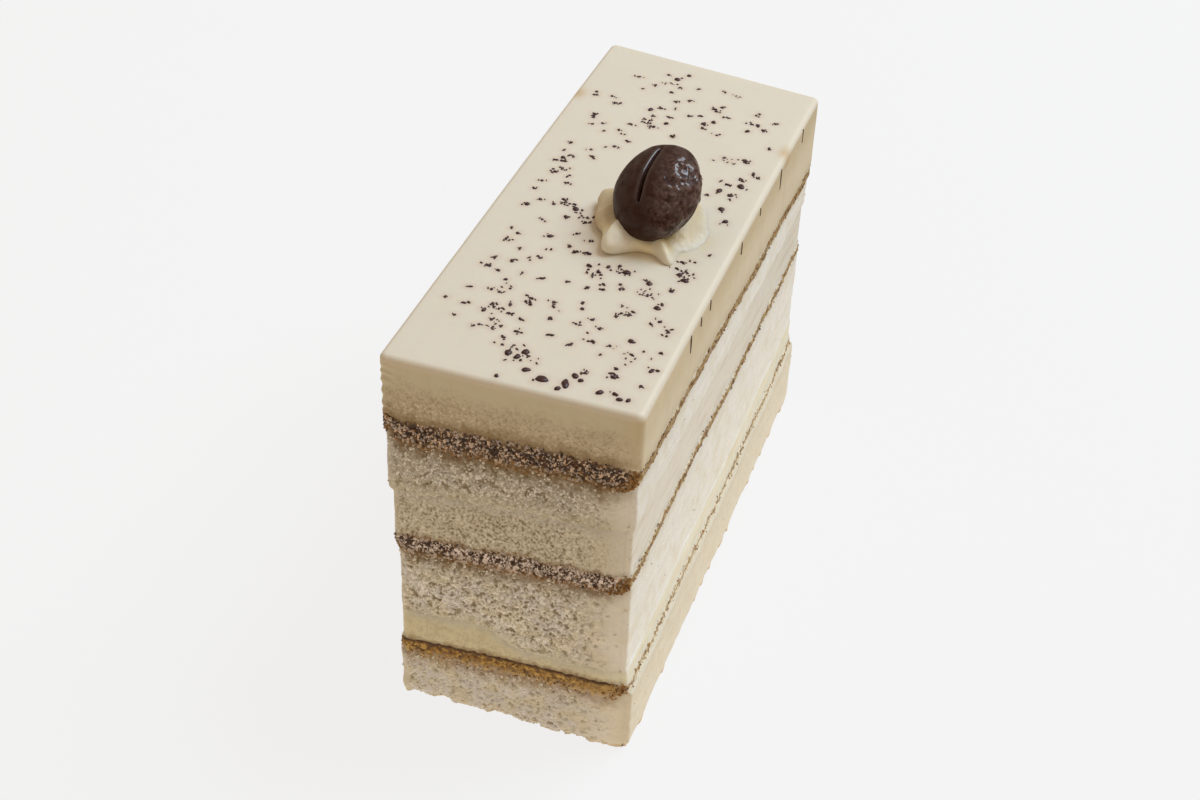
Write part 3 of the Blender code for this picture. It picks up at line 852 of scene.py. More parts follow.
@functools.lru_cache(maxsize=None)
def speck_places():
    """Middle and radius of every speck, the largest first, none on another or on the rosette."""
    chance = random.Random(SPECK_SEED)
    wanted = []
    for x, y, across, along_slice, count, width in SPECK_PATCHES:
        for _ in range(count):
            middle = Vector((chance.gauss(x, across), chance.gauss(y, along_slice)))
            wanted.append((width / 2 * chance.uniform(0.75, 1.25), middle))
    wanted.sort(key=lambda speck: -speck[0])
    placed = []
    for radius, middle in wanted:
        margin = SPECK_MARGIN + radius
        off_side = WIDTH / 2 - abs(middle.x) < margin
        off_end = middle.y + LENGTH / 2 < margin or back_edge(middle.x) - middle.y < margin
        clear = clear_of_rosette(middle, ROSETTE_ROOM + radius)
        crowded = any((middle - q).length < radius + r + SPECK_ROOM for r, q in placed)
        if clear and not (off_side or off_end or crowded):
            placed.append((radius, middle))
    return placed


def drop(chance, middle, radius, rise, stretch):
    """A low rounded drop with an uneven outline, its foot sunk in the cream: points and faces."""
    sides = max(DROP_SIDES[0], min(DROP_SIDES[1], round(radius * DROP_SIDES_PER_MM)))
    turn = chance.uniform(0, math.pi)
    waves = [(k, chance.uniform(0, 0.2) / (k - 1), chance.uniform(0, 6.3)) for k in (2, 3, 4, 5)]
    top = float(SURFACES[-1](np.float64(middle.x), np.float64(middle.y)))
    points = []
    for share, height in DROP_PROFILE:
        for side in range(sides):
            a = 2 * math.pi * side / sides
            uneven = 1 + sum(depth * math.cos(k * a + phase) for k, depth, phase in waves)
            along_drop, across = math.cos(a) * stretch, math.sin(a) / stretch
            off = Vector((along_drop, across)) * radius * share * uneven
            off.rotate(Euler((0, 0, turn)).to_matrix().to_2x2())
            points.append((middle.x + off.x, middle.y + off.y, top + rise * height))
    points.append((middle.x, middle.y, top + rise))
    faces = [list(reversed(range(sides)))] + ring_quads(len(DROP_PROFILE), sides).tolist()
    last = (len(DROP_PROFILE) - 1) * sides
    faces += [[last + side, last + (side + 1) % sides, len(points) - 1] for side in range(sides)]
    return points, faces


def gather(shapes):
    """Many shapes as one list of points and one of faces."""
    points, faces = [], []
    for some_points, some_faces in shapes:
        start = len(points)
        points += some_points
        faces += [[v + start for v in face] for face in some_faces]
    return points, faces


def on_the_top(place):
    """Whether a dot lies on the top, clear of its edges and of the rosette."""
    from_sides = WIDTH / 2 - abs(place.x)
    from_ends = min(place.y + LENGTH / 2, back_edge(place.x) - place.y)
    return min(from_sides, from_ends) > DOT_MARGIN and clear_of_rosette(place, DOT_ROSETTE_ROOM)


@functools.lru_cache(maxsize=None)
def drops():
    """Every drop of chocolate on the top: middle, radius, height and how far it is drawn out."""
    chance = random.Random(SPECK_SEED + 1)
    rise = bpy.context.scene.cake_sizes.speck_rise / MM
    made = []

    def dust(middle, across, deep, count):
        """A loose heap of small dots."""
        for _ in range(count):
            place = middle + Vector((chance.gauss(0, across), chance.gauss(0, deep)))
            small = chance.uniform(*DOT_RADII)
            shape = rise * chance.uniform(0.4, 0.8), chance.uniform(1.0, 1.7)
            if on_the_top(place):
                made.append((place, small, *shape))

    for radius, middle in speck_places():
        front = middle.y < -LENGTH / 2 + FRONT_ROW
        if front or radius > SOLID_SPECK_FROM or chance.random() < SOLID_SPECK_SHARE:
            made.append((middle, radius * 0.8, rise, chance.uniform(1.0, 1.3)))
            dust(middle, radius * 0.9, radius * 0.7, chance.randint(0, 3))
        else:
            made.append((middle, radius * 0.5, rise * 0.8, chance.uniform(1.0, 1.6)))
            dust(middle, radius * 0.8, radius * 0.5, chance.randint(2, 5))
    for x, y, radius in FRONT_DROPS:
        middle = Vector((x, y))
        if all((middle - other[0]).length > radius + other[1] for other in made):
            made.append((middle, radius, rise, chance.uniform(1.0, 1.2)))
    for x, y, across, deep, count in DUST:
        dust(Vector((x, y)), across, deep, count)
    for x, y, across, deep, count in FINE_SPECKS:
        for _ in range(count):
            heap = Vector((chance.gauss(x, across), chance.gauss(y, deep)))
            if on_the_top(heap):
                made.append((heap, chance.uniform(*CORE_RADII), rise * 0.7, chance.uniform(1.0, 1.6)))
                dust(heap, 0.34, 0.2, chance.randint(1, 4))
    return made


def smear(place, length, width):
    """A thin streak down the right side of the top cream: points and faces."""
    top = LEVELS["cake_top"][0] - SMEAR_TOP
    reach = LAYERS[TOP][2][1] + BACK_FLARE * (place / LENGTH + 0.5)
    sides, rows = SMEAR_SIDES, SMEAR_ROWS
    points = []
    for row in range(rows):
        t = row / (rows - 1)
        half = width / 2 * math.sin(math.pi * (0.08 + 0.9 * t)) ** 0.6 * (1.1 - 0.5 * t)
        half = max(SMEAR_THINNEST, half)
        turned = max(0.0, TOP_EDGE - SMEAR_TOP - length * t) / TOP_EDGE
        inset = TOP_EDGE * (1 - math.sqrt(max(0.0, 1 - turned**2)))
        for side in range(sides):
            a = 2 * math.pi * side / sides
            points.append((
                reach - inset + SMEAR_THICKNESS * math.cos(a),
                place + half * math.sin(a) + 0.15 * math.sin(3 * t),
                top - length * t,
            ))
    ends = [list(range(sides)), list(reversed(range((rows - 1) * sides, rows * sides)))]
    return points, ends + ring_quads(rows, sides, turned=True).tolist()


# Rosette and bean


def closed_rings(points, ring, first_pole, last_pole):
    """Faces of a closed shape made of rings between two poles. The rings are the first points."""
    rows = len(points) // ring
    faces = []
    for side in range(ring):
        beside = (side + 1) % ring
        faces.append([first_pole, beside, side])
        end = (rows - 1) * ring
        faces.append([last_pole, end + side, end + beside])
    return ring_quads(rows, ring).tolist() + faces


def rosette_shape():
    """A piped star of folds that turn as they rise. Each fold's lip stands out over its foot."""
    slope = np.linspace(ROSETTE_LOWEST_SLOPE, math.pi / 2, ROSETTE_RINGS, endpoint=False)[:, None]
    angle = np.linspace(0, 2 * math.pi, ROSETTE_SIDES, endpoint=False)[None, :]
    share = np.cos(slope)
    lifted = np.clip(np.sin(slope), 0, 1)
    crest = sum(one[2] * fold(angle, i, FOLD_LEANS[i]) for i, one in enumerate(ROSETTE_FOLDS))
    crest = np.minimum(crest, 1)
    sunk = slump(angle)
    in_skirt = ease(sunk / SKIRT_FADE)
    rise = ROSETTE_HEIGHT * lifted ** mix(STEEP, SUNK, sunk) * mix(1 - FOLD_DEPTH, 1, crest)
    foot = ROSETTE_LIFT + ROSETTE_UNDERCUT * np.clip(np.sin(slope), -1, 0)
    rise = rise + mix(foot, ROSETTE_LIFT * (1 - lifted), lifted > 0) * (1 - in_skirt)
    rise = rise - SKIRT_DIP * in_skirt * share**6
    turned = angle + ROSETTE_TWIST * (1 - share)
    outward = np.stack([np.cos(turned), np.sin(turned)], axis=-1)
    radius = rosette_reach(angle) * share
    points = np.concatenate([radius[..., None] * outward, rise[..., None]], axis=-1)
    points = points + np.array(ROSETTE_PLACE)
    ripple = swell(points, ROSETTE_RIPPLE, 41)
    lowest = LEVELS["cake_top"][0] - ROSETTE_SINK
    points[..., :2] += ripple[..., None] * outward
    points[..., 2] = np.maximum(points[..., 2] + 0.5 * ripple, lowest)
    flat = points.reshape(-1, 3)
    poles = np.array([ROSETTE_PLACE, ROSETTE_PLACE])
    poles[:, 2] = lowest, points[-1, :, 2].mean()
    faces = closed_rings(flat, ROSETTE_SIDES, len(flat), len(flat) + 1)
    shade = bell((degrees_from(angle, SHADED_AT) / SHADED_WIDTH) ** 2)
    # the crest gives the crests a painted highlight and the folds painted shade; shade is painted shade on
    # the side turned from the light
    fields = {"tone_and_shade": crest, "sunk": sunk, "low": share, "shade": shade}
    fields = {k: np.append(np.broadcast_to(v, radius.shape).ravel(), [0, 1]) for k, v in fields.items()}
    return np.concatenate([flat, poles]), faces, fields


def bean_shape(grow, rings, sides, wrinkled):
    """The bean, grown outwards by a margin. Its length runs along Y before it is turned."""
    half = np.array(BEAN_HALF) + grow
    lengthwise = math.pi * np.arange(1, rings)[:, None] / rings
    s = 2 * np.arange(sides)[None, :] / sides - 1
    around = math.pi / 2 + math.pi * np.copysign(abs(s) ** 1.5, s)
    x = half[0] * np.sin(lengthwise) * np.cos(around)
    y = half[1] * np.cos(lengthwise) + 0 * x
    z = half[2] * np.sin(lengthwise) * np.sin(around)
    share = y / half[1]
    ends = ease((share - CREASE_FROM) / CREASE_FADE) * ease((CREASE_TO - share) / CREASE_FADE)
    groove = CREASE_DEPTH * bell(x / CREASE_WIDTH) + SLIT_DEPTH * bell(x / SLIT_WIDTH)
    groove = groove - LIP_RISE * bell((abs(x) - LIP_APART) / LIP_WIDTH)
    z = np.where(z > 0, z * BEAN_FLATNESS - ends * groove, z)
    points = np.stack([x, y, z], axis=-1)
    right = wrinkle = np.zeros_like(x)
    if wrinkled:
        right = ease((x - 0.5) / 3) * ease((1.2 - share) / 0.9) * (z > -1.5)
        ridges = 1 - abs(noise(points * (1, 0.6, 1), 0.75, 51)) * 2.2
        pebbles = noise(points, 0.42, 52)
        wrinkle = right * (0.6 * ridges + 0.5 * pebbles)
        depth = WRINKLE_DEPTH * wrinkle + swell(points, BEAN_SWELL, 53) + BEAN_GROWTH
        outward = points / half**2
        outward /= np.linalg.norm(outward, axis=-1, keepdims=True)
        points = points + outward * depth[..., None]
    flat = points.reshape(-1, 3)
    poles = np.array([(0, half[1], 0), (0, -half[1], 0)])
    faces = closed_rings(flat, sides, len(flat), len(flat) + 1)
    everything = np.concatenate([flat, poles]) @ np.array(BEAN_TURN.to_matrix()).T
    glossy = bell((abs(x) - LIP_APART) / GLOSS_WIDTH) * ends * (z > 0)
    fields = {"wrinkle": wrinkle, "crease": glossy, "cheek": right}
    fields = {k: np.append(v.ravel(), [0, 0]) for k, v in fields.items()}
    return everything + np.array(BEAN_PLACE), faces, fields


# Loose grains


def grain_body():
    """The points and faces of one round grain of radius 1."""
    body = bmesh.new()
    bmesh.ops.create_icosphere(body, subdivisions=1, radius=1.0)
    points = np.array([v.co for v in body.verts])
    faces = np.array([[v.index for v in f.verts] for f in body.faces])
    body.free()
    return points, faces


def scatter(name, places, material, radius, seed):
    """Many uneven grains as one mesh, each partly sunk in the wall at its place."""
    chance = np.random.default_rng(seed)
    body, body_faces = grain_body()
    at, out = places
    count = len(at)
    size = radius * chance.uniform(1 - GRAIN_SPREAD, 1 + GRAIN_SPREAD, (count, 1, 1))
    squeeze = chance.uniform(0.7, 1.3, (count, 1, 3))
    knobbly = chance.uniform(0.8, 1.2, (count, len(body), 1))
    turn = chance.normal(size=(count, 3, 3))
    turn, _ = np.linalg.qr(turn)
    shape = np.einsum("nij,nkj->nki", turn, body[None] * squeeze * knobbly) * size
    lift = (size[:, 0] * (1 - 2 * GRAIN_SINK))[:, :, None]
    out3 = np.concatenate([out, np.zeros((count, 1))], axis=1)
    points = at[:, None] + out3[:, None] * lift + shape
    points[..., 2] = np.maximum(points[..., 2], 0.0)
    faces = body_faces[None] + np.arange(count)[:, None, None] * len(body)
    flipped = np.linalg.det(turn) < 0
    faces[flipped] = faces[flipped][..., ::-1]
    tone_and_shade = np.repeat(chance.uniform(0, 1, count), len(body))
    faces = faces.reshape(-1, 3).tolist()
    piece = make_piece(name, points.reshape(-1, 3), faces, material, {"tone_and_shade": tone_and_shade}, smooth=False)
    return piece


def pick_places(chance, numbers, count, liking):
    """Places on the walls of some layers, drawn by how much a rule likes their fields."""
    spots, outs, weights = [], [], []
    for number in numbers:
        points, out, fields = wall(number)
        spots.append(points.reshape(-1, 3))
        outs.append(out.reshape(-1, 2))
        spacing = np.where(abs(OUTWARD[:, 1]) > 0.9, FRONT_STEP, SIDE_STEP) + 0 * fields["cut"]
        weights.append((spacing * liking(fields)).ravel())
    weights = np.concatenate(weights)
    chosen = chance.choice(len(weights), size=count, replace=False, p=weights / weights.sum())
    return np.concatenate(spots)[chosen], np.concatenate(outs)[chosen]


# Finishes


class Value:
    """The output of a shader node, which can stand in an expression."""

    def __init__(self, finish, socket):
        self.finish = finish
        self.socket = socket

    def maths(self, operation, first, second):
        return self.finish.node("ShaderNodeMath", {"operation": operation}, {0: first, 1: second})

    def __add__(self, other):
        return self.maths("ADD", self, other)

    def __radd__(self, other):
        return self.maths("ADD", other, self)

    def __sub__(self, other):
        return self.maths("SUBTRACT", self, other)

    def __rsub__(self, other):
        return self.maths("SUBTRACT", other, self)

    def __mul__(self, other):
        return self.maths("MULTIPLY", self, other)

    def __rmul__(self, other):
        return self.maths("MULTIPLY", other, self)


class Finish:
    """A procedural material, built from expressions on the values of its nodes."""

    def __init__(self, name, **constants):
        self.material = bpy.data.materials.new(name)
        self.material.use_nodes = True
        tree = self.material.node_tree
        self.nodes, self.links = tree.nodes, tree.links
        self.shader = self.nodes["Principled BSDF"]
        for socket, value in constants.items():
            self.shader.inputs[socket.replace("_", " ")].default_value = value
        self.place = self.node("ShaderNodeTexCoord", output="Object")

    def node(self, kind, settings=None, inputs=None, output=0):
        """Adds a node. Settings are set first, then its sockets get values or links."""
        made = self.nodes.new(kind)
        for key, value in (settings or {}).items():
            setattr(made, key, value)
        for key, value in (inputs or {}).items():
            self.feed(made.inputs[key], value)
        return Value(self, made.outputs[output])

    def feed(self, socket, value):
        if isinstance(value, Value):
            self.links.new(value.socket, socket)
        else:
            socket.default_value = value

    def field(self, name):
        """A value kept with the mesh."""
        settings = {"attribute_type": "GEOMETRY", "attribute_name": name}
        return self.node("ShaderNodeAttribute", settings, output="Fac")

    def fields(self, *names):
        return [self.field(name) for name in names]

    def noise(self, size, detail=2.0, stretch=(1, 1, 1)):
        """Cloudy noise from 0 to 1 with features of a size in millimetres."""
        inputs = {"Vector": self.stretched(stretch), "Scale": 1 / (size * MM), "Detail": detail}
        return self.node("ShaderNodeTexNoise", None, inputs)

    def waver(self, size, detail):
        """Cloudy noise about 0."""
        return self.noise(size, detail) - 0.5

    def stretched(self, by):
        if by == (1, 1, 1):
            return self.place
        settings = {"operation": "MULTIPLY"}
        return self.node("ShaderNodeVectorMath", settings, {0: self.place, 1: by})

    def step(self, value, low, high):
        """0 below one value, 1 above another, and smooth in between."""
        inputs = {"Value": value, "From Min": low, "From Max": high}
        return self.node("ShaderNodeMapRange", {"interpolation_type": "SMOOTHSTEP"}, inputs)

    def clip(self, value):
        return self.node("ShaderNodeClamp", None, {"Value": value})

    def blend(self, first, second, mask, how="MIX"):
        """Two colours, the second as strong as the mask says."""
        settings = {"data_type": "RGBA", "blend_type": how}
        inputs = {0: mask, MIX_FIRST: opaque(first), MIX_SECOND: opaque(second)}
        return self.node("ShaderNodeMix", settings, inputs, MIX_RESULT)

    def coated(self, colour, *coats):
        """A colour under some coats, each a colour and how strong it is."""
        for coat, mask in coats:
            colour = self.blend(colour, coat, mask)
        return colour

    def set(self, socket, value):
        self.feed(self.shader.inputs[socket], value)

    def finished(self, colour, roughness, height, depth):
        """The material with its colour, its roughness and fine relief of a depth in millimetres."""
        self.set("Base Color", colour)
        self.set("Roughness", self.clip(roughness))
        inputs = {"Height": height, "Distance": depth * MM, "Strength": 1.0}
        self.set("Normal", self.node("ShaderNodeBump", None, inputs))
        return self.material


def opaque(colour):
    """A colour with its alpha, where it isn't already a value."""
    return colour if isinstance(colour, Value) else (*colour[:3], 1.0)


def scaled(colour, *by):
    """A colour made lighter or darker, by one factor or by three."""
    factors = by if len(by) == 3 else by * 3
    return tuple(min(c * f, 1.0) for c, f in zip(colour, factors))


def shades(colour):
    """A function that gives a colour made lighter or darker."""
    return functools.partial(scaled, tuple(colour))


def sponge_finish(colours):
    """Pale crumb of light and dark grains, soaked brown under a coffee seam, whiter where pressed. The
    grains mix random tone with painted shade in the pits and painted light on the grain tops, and the sawn
    front takes painted bounce light.
    """
    f = Finish("sponge_crumb", Specular_IOR_Level=0.25, Subsurface_Weight=0.08,
               Subsurface_Scale=0.6 * MM, Subsurface_Radius=(1.0, 0.7, 0.4))
    cut, tone_and_shade, pick, down, up, worn = f.fields("cut", "tone_and_shade", "pick", "down", "up", "worn")
    foot, light = f.fields("foot", "light")
    sponge = shades(colours.sponge)
    ragged = f.waver(1.2, 3.0)
    grain = tone_and_shade - 0.3 + 2.3 * f.waver(0.24, 1.0) + 0.8 * f.waver(0.9, 1.0)
    grain = grain * (1 - 0.8 * worn) * (1 - 0.6 * foot)
    hue = f.step(f.noise(2.6, 2.0), 0.4, 0.62)
    ground = f.blend(sponge(0.96, 0.97, 1.02), sponge(0.97, 0.92, 0.78), hue)
    ground = f.blend(ground, (1.04, 1.05, 1.08), 1.0, "MULTIPLY")
    sawn = f.coated(
        sponge(0.68, 0.66, 0.63),
        # painted bounce light: the sawn crumb is lighter where the light field is high, towards the floor
        # of each sponge, and lighter in the lower sponges than in the upper one
        (ground, light),
        # painted shade in the pits and painted light on the grain tops, mixed with random tone
        (sponge(0.48, 0.42, 0.32), f.step(grain, 0.0, -0.8)),
        (sponge(1.42, 1.44, 1.48), f.step(grain, 0.05, 0.75) * 0.85),
        # paler at the front right corner: pressed crumb and painted light
        (sponge(1.22, 1.2, 1.13), worn * 0.85),
    )
    pressed = f.coated(
        sponge(1.26, 1.3, 1.34),
        (sponge(1.2, 1.2, 1.15), f.step(f.noise(3.0, 3.0), 0.45, 0.7)),
        (sponge(1.09, 1.06, 0.96), foot),
        (sponge(0.9, 0.84, 0.7), f.step(f.noise(0.5, 2.0), 0.6, 0.75) * 0.5),
    )
    creamy = f.step(down + 2.2 * ragged, 2.6, -0.4) * (1 - foot)
    soak = f.step(up + 3.0 * ragged + 1.2 * f.waver(0.4, 1.0), 2.6, -0.3)
    wet = f.blend(tuple(colours.soaked), scaled(colours.amber, 1.15, 1.25, 1.7), foot)
    crust = f.step(down + 0.5 * ragged, 0.75, 0.25) * foot
    colour = f.coated(
        pressed,
        (sawn, cut),
        (tuple(colours.filling), creamy * 0.75 * cut),
        (wet, soak * (0.12 + 0.7 * cut) * (1 - 0.2 * foot)),
        (sponge(0.92, 0.72, 0.48), crust * (1 - 0.8 * cut)),
    )
    return f.finished(colour, 0.8 + 0.15 * pick, f.noise(0.16, 2.0) + 0.6 * f.noise(0.5, 1.0), 0.05)


def seam_finish(colours):
    """Soaked crumb: dark coffee with frost on its grains, or golden, with a soaked lower fringe, painted
    shade between the grains and a painted shadow line under the layer above.
    """
    f = Finish("coffee_soaked_crumb", Specular_IOR_Level=0.4)
    cut, tone_and_shade, pick, down, up, worn = f.fields("cut", "tone_and_shade", "pick", "down", "up", "worn")
    frost, across = f.fields("frost", "across")
    coffee, amber, soaked = shades(colours.coffee), shades(colours.amber), shades(colours.soaked)
    sponge, ice = shades(colours.sponge), shades(colours.frost)
    fine, ragged = f.waver(0.3, 1.0), f.waver(0.9, 3.0)
    wet = f.step(frost, 0.1, 0.3)
    blotches = f.step(f.noise(0.6, 3.0), 0.5, 0.62)
    golden = f.coated(
        amber(1.1, 1.08, 0.6),
        # painted light on the grain tops, mixed with random tone
        (amber(2.1, 2.55, 2.5), f.step(tone_and_shade + 2.4 * fine + 2.4 * ragged, 0.2, 0.8)),
        (amber(2.2, 2.6, 3.0), f.step(across, 0.35, 1.1) * 0.5),
        (amber(0.42, 0.36, 0.4), blotches * (0.9 - 0.6 * worn)),
        # painted shade between the grains, mixed with random tone
        (amber(0.4, 0.33, 0.36), f.step(tone_and_shade + 2 * fine, 0.2, -0.25) * 0.8),
        # paler at the front right corner: pressed crumb and painted light
        (amber(1.6, 2.0, 2.9), worn * 0.55),
        (sponge(0.85, 0.78, 0.66), f.step(down + 1.8 * ragged + fine, 1.3, -0.3) * (0.6 + 0.2 * worn)),
        # painted shadow: a dark line along the top of the seam, under the cream that overhangs it
        (amber(0.3, 0.26, 0.3), f.step(up + 0.7 * ragged, 0.7, 0.1)),
    )
    dark = f.blend(coffee(0.6), coffee(2.4, 1.8, 1.25), f.step(pick + ragged, 0.2, 1.0))
    fringe = f.step(down + 2.0 * ragged + fine, 1.9, 0.1)
    rime = f.step(tone_and_shade * (0.45 + pick) + 1.3 * fine + 0.9 * (frost - 0.84), 0.36, 0.62)
    icy = f.blend(ice(1.12, 0.98, 0.8), ice(1.34, 1.36, 1.4), f.step(frost, 0.86, 1.0))
    dusty = f.step(up + 1.4 * ragged + fine, 0.8, -0.2) * wet
    sawn = f.coated(
        golden,
        (dark, wet),
        (soaked(1.0), fringe * wet),
        (icy, rime * wet * (1 - 0.65 * fringe) * 0.95),
        (soaked(1.5, 1.6, 1.8), dusty * 0.6),
    )
    fuzz = f.step(down + 1.1 * ragged + fine, 0.5, 0.1) + f.step(up + 1.1 * ragged + fine, 0.5, 0.1)
    side = f.coated(
        amber(1.9, 2.7, 4.6),
        (amber(0.85, 0.85, 1.05), f.step(f.noise(0.6, 3.0), 0.36, 0.62)),
        (coffee(2.4), f.step(fine, 0.06, 0.2) * 0.6 * wet),
        (sponge(1.2, 1.15, 1.0), f.clip(fuzz + 0.1 * (1 - wet)) * 0.85),
    )
    colour = f.blend(side, sawn, f.step(cut, 0.15, 0.6))
    return f.finished(colour, 0.62 + 0.25 * tone_and_shade, f.noise(0.15, 2.0), 0.05)


def cream_finish(name, colours, tint, coarse):
    """Ivory cream, satin where it is smooth, and fine-grained and duller where it was sawn, with painted
    shade between its grains and painted light on their tops.
    """
    f = Finish(name, Specular_IOR_Level=0.35, Subsurface_Weight=0.2,
               Subsurface_Scale=1.2 * MM, Subsurface_Radius=(1.0, 0.75, 0.45))
    cut, tone_and_shade, pick, down, up, worn = f.fields("cut", "tone_and_shade", "pick", "down", "up", "worn")
    cream = shades(scaled(colours.filling, *tint))
    sponge = shades(colours.sponge)
    ragged = f.waver(1.0, 3.0)
    grain = (tone_and_shade - 0.25) * (1 - 0.8 * worn) + 1.9 * f.waver(0.3, 1.0) + 0.8 * f.waver(0.9, 1.0)
    sawn = f.coated(
        cream(0.98, 0.97, 0.95),
        (cream(1.02, 1.03, 1.06), f.noise(3.0, 2.0)),
        # painted shade between the grains and painted light on their tops, mixed with random tone
        (cream(0.38, 0.32, 0.22), f.step(grain, 0.0, -0.65) * coarse),
        (cream(1.4, 1.48, 1.65), f.step(grain, 0.05, 0.55) * 0.85 * coarse),
        # paler at the front right corner: pressed cream and painted light
        (cream(1.2, 1.22, 1.25), worn * 0.7),
        (sponge(0.82), f.step(up + 2.2 * ragged, 2.2, -0.6) * 0.75),
    )
    stain = f.step(down + 1.5 * ragged + 0.8 * f.waver(0.35, 1.0), 1.0, -0.2)
    colour = f.coated(
        cream(1.24, 1.29, 1.46),
        (cream(1.31, 1.38, 1.6), f.noise(5.0, 2.0)),
        (sponge(1.14, 1.16, 1.14), 0.45),
        (cream(1.12, 1.12, 1.16), f.step(f.noise(0.7, 2.0, (1, 0.08, 1)), 0.5, 0.75)),
        (sawn, cut),
        (scaled(colours.soaked, 1.2, 1.1, 1.1), stain * (0.15 + 0.6 * cut)),
    )
    height = f.noise(0.2, 2.0) * (0.2 + 0.8 * cut) * coarse
    return f.finished(colour, 0.5 + 0.3 * cut + 0.15 * (pick - 0.5), height, 0.035)


def top_cream_finish(colours):
    """The smooth top: satin ivory, a pink tinge round the specks, a painted golden shadow by the rosette,
    painted bounce light down its sides, and grainy low on its sawn face with painted shade between the
    grains.
    """
    f = Finish("top_cream", Specular_IOR_Level=0.35, Subsurface_Weight=0.25,
               Subsurface_Scale=1.5 * MM, Subsurface_Radius=(1.0, 0.75, 0.45))
    cut, tone_and_shade, down, up = f.fields("cut", "tone_and_shade", "down", "up")
    halo, stain, gold = f.fields("halo", "stain", "gold")
    cream = shades(colours.cream)
    spread = f.coated(
        cream(0.98, 0.975, 0.96),
        (cream(1.02, 1.025, 1.03), f.noise(7.0, 3.0)),
        # painted shadow: golden shade on the top at the rosette's foot
        (cream(0.97, 0.87, 0.66), gold * 0.6),
        (cream(0.9, 0.78, 0.74), halo * 0.6),
    )
    streaks = f.noise(0.8, 2.0, (1, 1, 0.12))
    dragged = f.coated(
        cream(0.86, 0.8, 0.63),
        # painted bounce light: the side is darker and yellower near the top edge and lighter lower down
        (cream(0.98, 0.95, 0.84), f.step(up, 1.0, 7.0)),
        (cream(0.86, 0.8, 0.68), f.step(streaks, 0.48, 0.75) * 0.5),
    )
    grainy = f.step(up + 2.4 * f.waver(2.5, 2.0), 1.6, 6.0)
    grain = tone_and_shade - 0.25 + 1.9 * f.waver(0.3, 1.0) + 0.5 * f.waver(0.9, 1.0)
    sawn = f.coated(
        cream(0.89, 0.9, 0.78),
        (cream(0.78, 0.75, 0.66), f.step(up, 2.0, 7.5)),
        (cream(0.86, 0.84, 0.72), f.step(streaks, 0.45, 0.75) * 0.3),
        # painted shade between the grains and painted light on their tops, mixed with random tone
        (cream(0.5, 0.42, 0.31), f.step(grain, 0.0, -0.8) * grainy * 0.8),
        (cream(1.14, 1.13, 1.08), f.step(grain, 0.05, 0.65) * grainy * 0.85),
    )
    walls = f.step(up, 0.3, 1.3)
    soak = f.step(down + 2.0 * f.waver(1.0, 3.0) + 0.9 * f.waver(0.35, 1.0), 2.3, -0.1)
    colour = f.coated(
        spread,
        (f.blend(dragged, sawn, cut), walls),
        (scaled(colours.soaked, 1.15), soak * (0.12 + 0.68 * cut)),
        (scaled(colours.amber, 1.9, 2.2, 2.6), stain),
    )
    roughness = 0.42 + 0.35 * grainy * walls + 0.1 * f.waver(1.5, 2.0)
    height = f.noise(0.22, 2.0) * (0.06 + grainy * cut) + 0.4 * f.noise(1.6, 2.0)
    return f.finished(colour, roughness, height, 0.03)


def piped_finish(colours):
    """Soft piped cream: painted highlight makes its crests whiter, painted shade makes its folds yellower
    and its shaded side darker, and a painted golden shadow lies on its skirt near the bean.
    """
    f = Finish("piped_cream", Specular_IOR_Level=0.45, Subsurface_Weight=0.35,
               Subsurface_Scale=1.6 * MM, Subsurface_Radius=(1.0, 0.75, 0.4))
    tone_and_shade, sunk, low, shade = f.fields("tone_and_shade", "sunk", "low", "shade")
    piped, cream = shades(colours.piped), shades(colours.cream)
    # painted shadow: the skirt is golden near the bean and paler towards its rim
    skirt = f.coated(
        piped(0.8, 0.67, 0.41),
        (cream(0.8, 0.74, 0.6), f.step(sunk, 0.45, 1.0)),
        (cream(0.95, 0.93, 0.89), f.step(low, 0.75, 1.0)),
    )
    colour = f.coated(
        piped(1.2, 1.14, 0.94),
        # painted highlight on the crests, over a yellower ground that is painted shade in the folds
        (piped(1.16, 1.2, 1.28), f.step(tone_and_shade, 0.1, 0.8)),
        (piped(0.7, 0.6, 0.44), shade),
        (piped(0.97, 0.92, 0.8), f.noise(1.8, 3.0) * 0.4),
        (skirt, f.step(sunk, 0.1, 0.35)),
    )
    height = f.noise(0.35, 2.0) + 0.8 * f.noise(1.4, 2.0)
    return f.finished(colour, 0.36 + 0.12 * f.noise(0.9), height, 0.03)


def bean_finish(colours):
    """Dark chocolate that glints on its crease and its wrinkled cheek."""
    f = Finish("dark_chocolate", Specular_IOR_Level=0.12, Coat_Roughness=0.17)
    wrinkle, crease, cheek = f.fields("wrinkle", "crease", "cheek")
    chocolate = shades(colours.chocolate)
    # paler and greyer where the bean is wrinkled, most on its right cheek, with a fine crackle
    pale_wrinkles = f.step(wrinkle + 0.8 * f.waver(0.5, 2.0), 0.2, 0.8)
    crackle = f.step(f.noise(0.5, 3.0), 0.44, 0.62)
    colour = f.coated(
        chocolate(0.75, 0.7, 0.7),
        (chocolate(1.6, 1.35, 1.25), f.noise(1.6, 4.0)),
        (chocolate(3.2, 3.8, 4.2), pale_wrinkles * 0.6),
        (chocolate(4.2, 5.8, 6.8), cheek * crackle * 0.5),
    )
    spots = f.step(f.noise(1.5, 3.0), 0.42, 0.5) * (0.25 + 0.75 * cheek)
    f.set("Coat Weight", f.clip(0.08 + 0.92 * spots + crease))
    height = f.noise(0.35, 3.0) + 1.4 * f.noise(1.2, 2.0) + 0.6 * f.noise(0.14, 1.0)
    return f.finished(colour, 0.5 + 0.2 * f.noise(1.1, 3.0), height, 0.14)


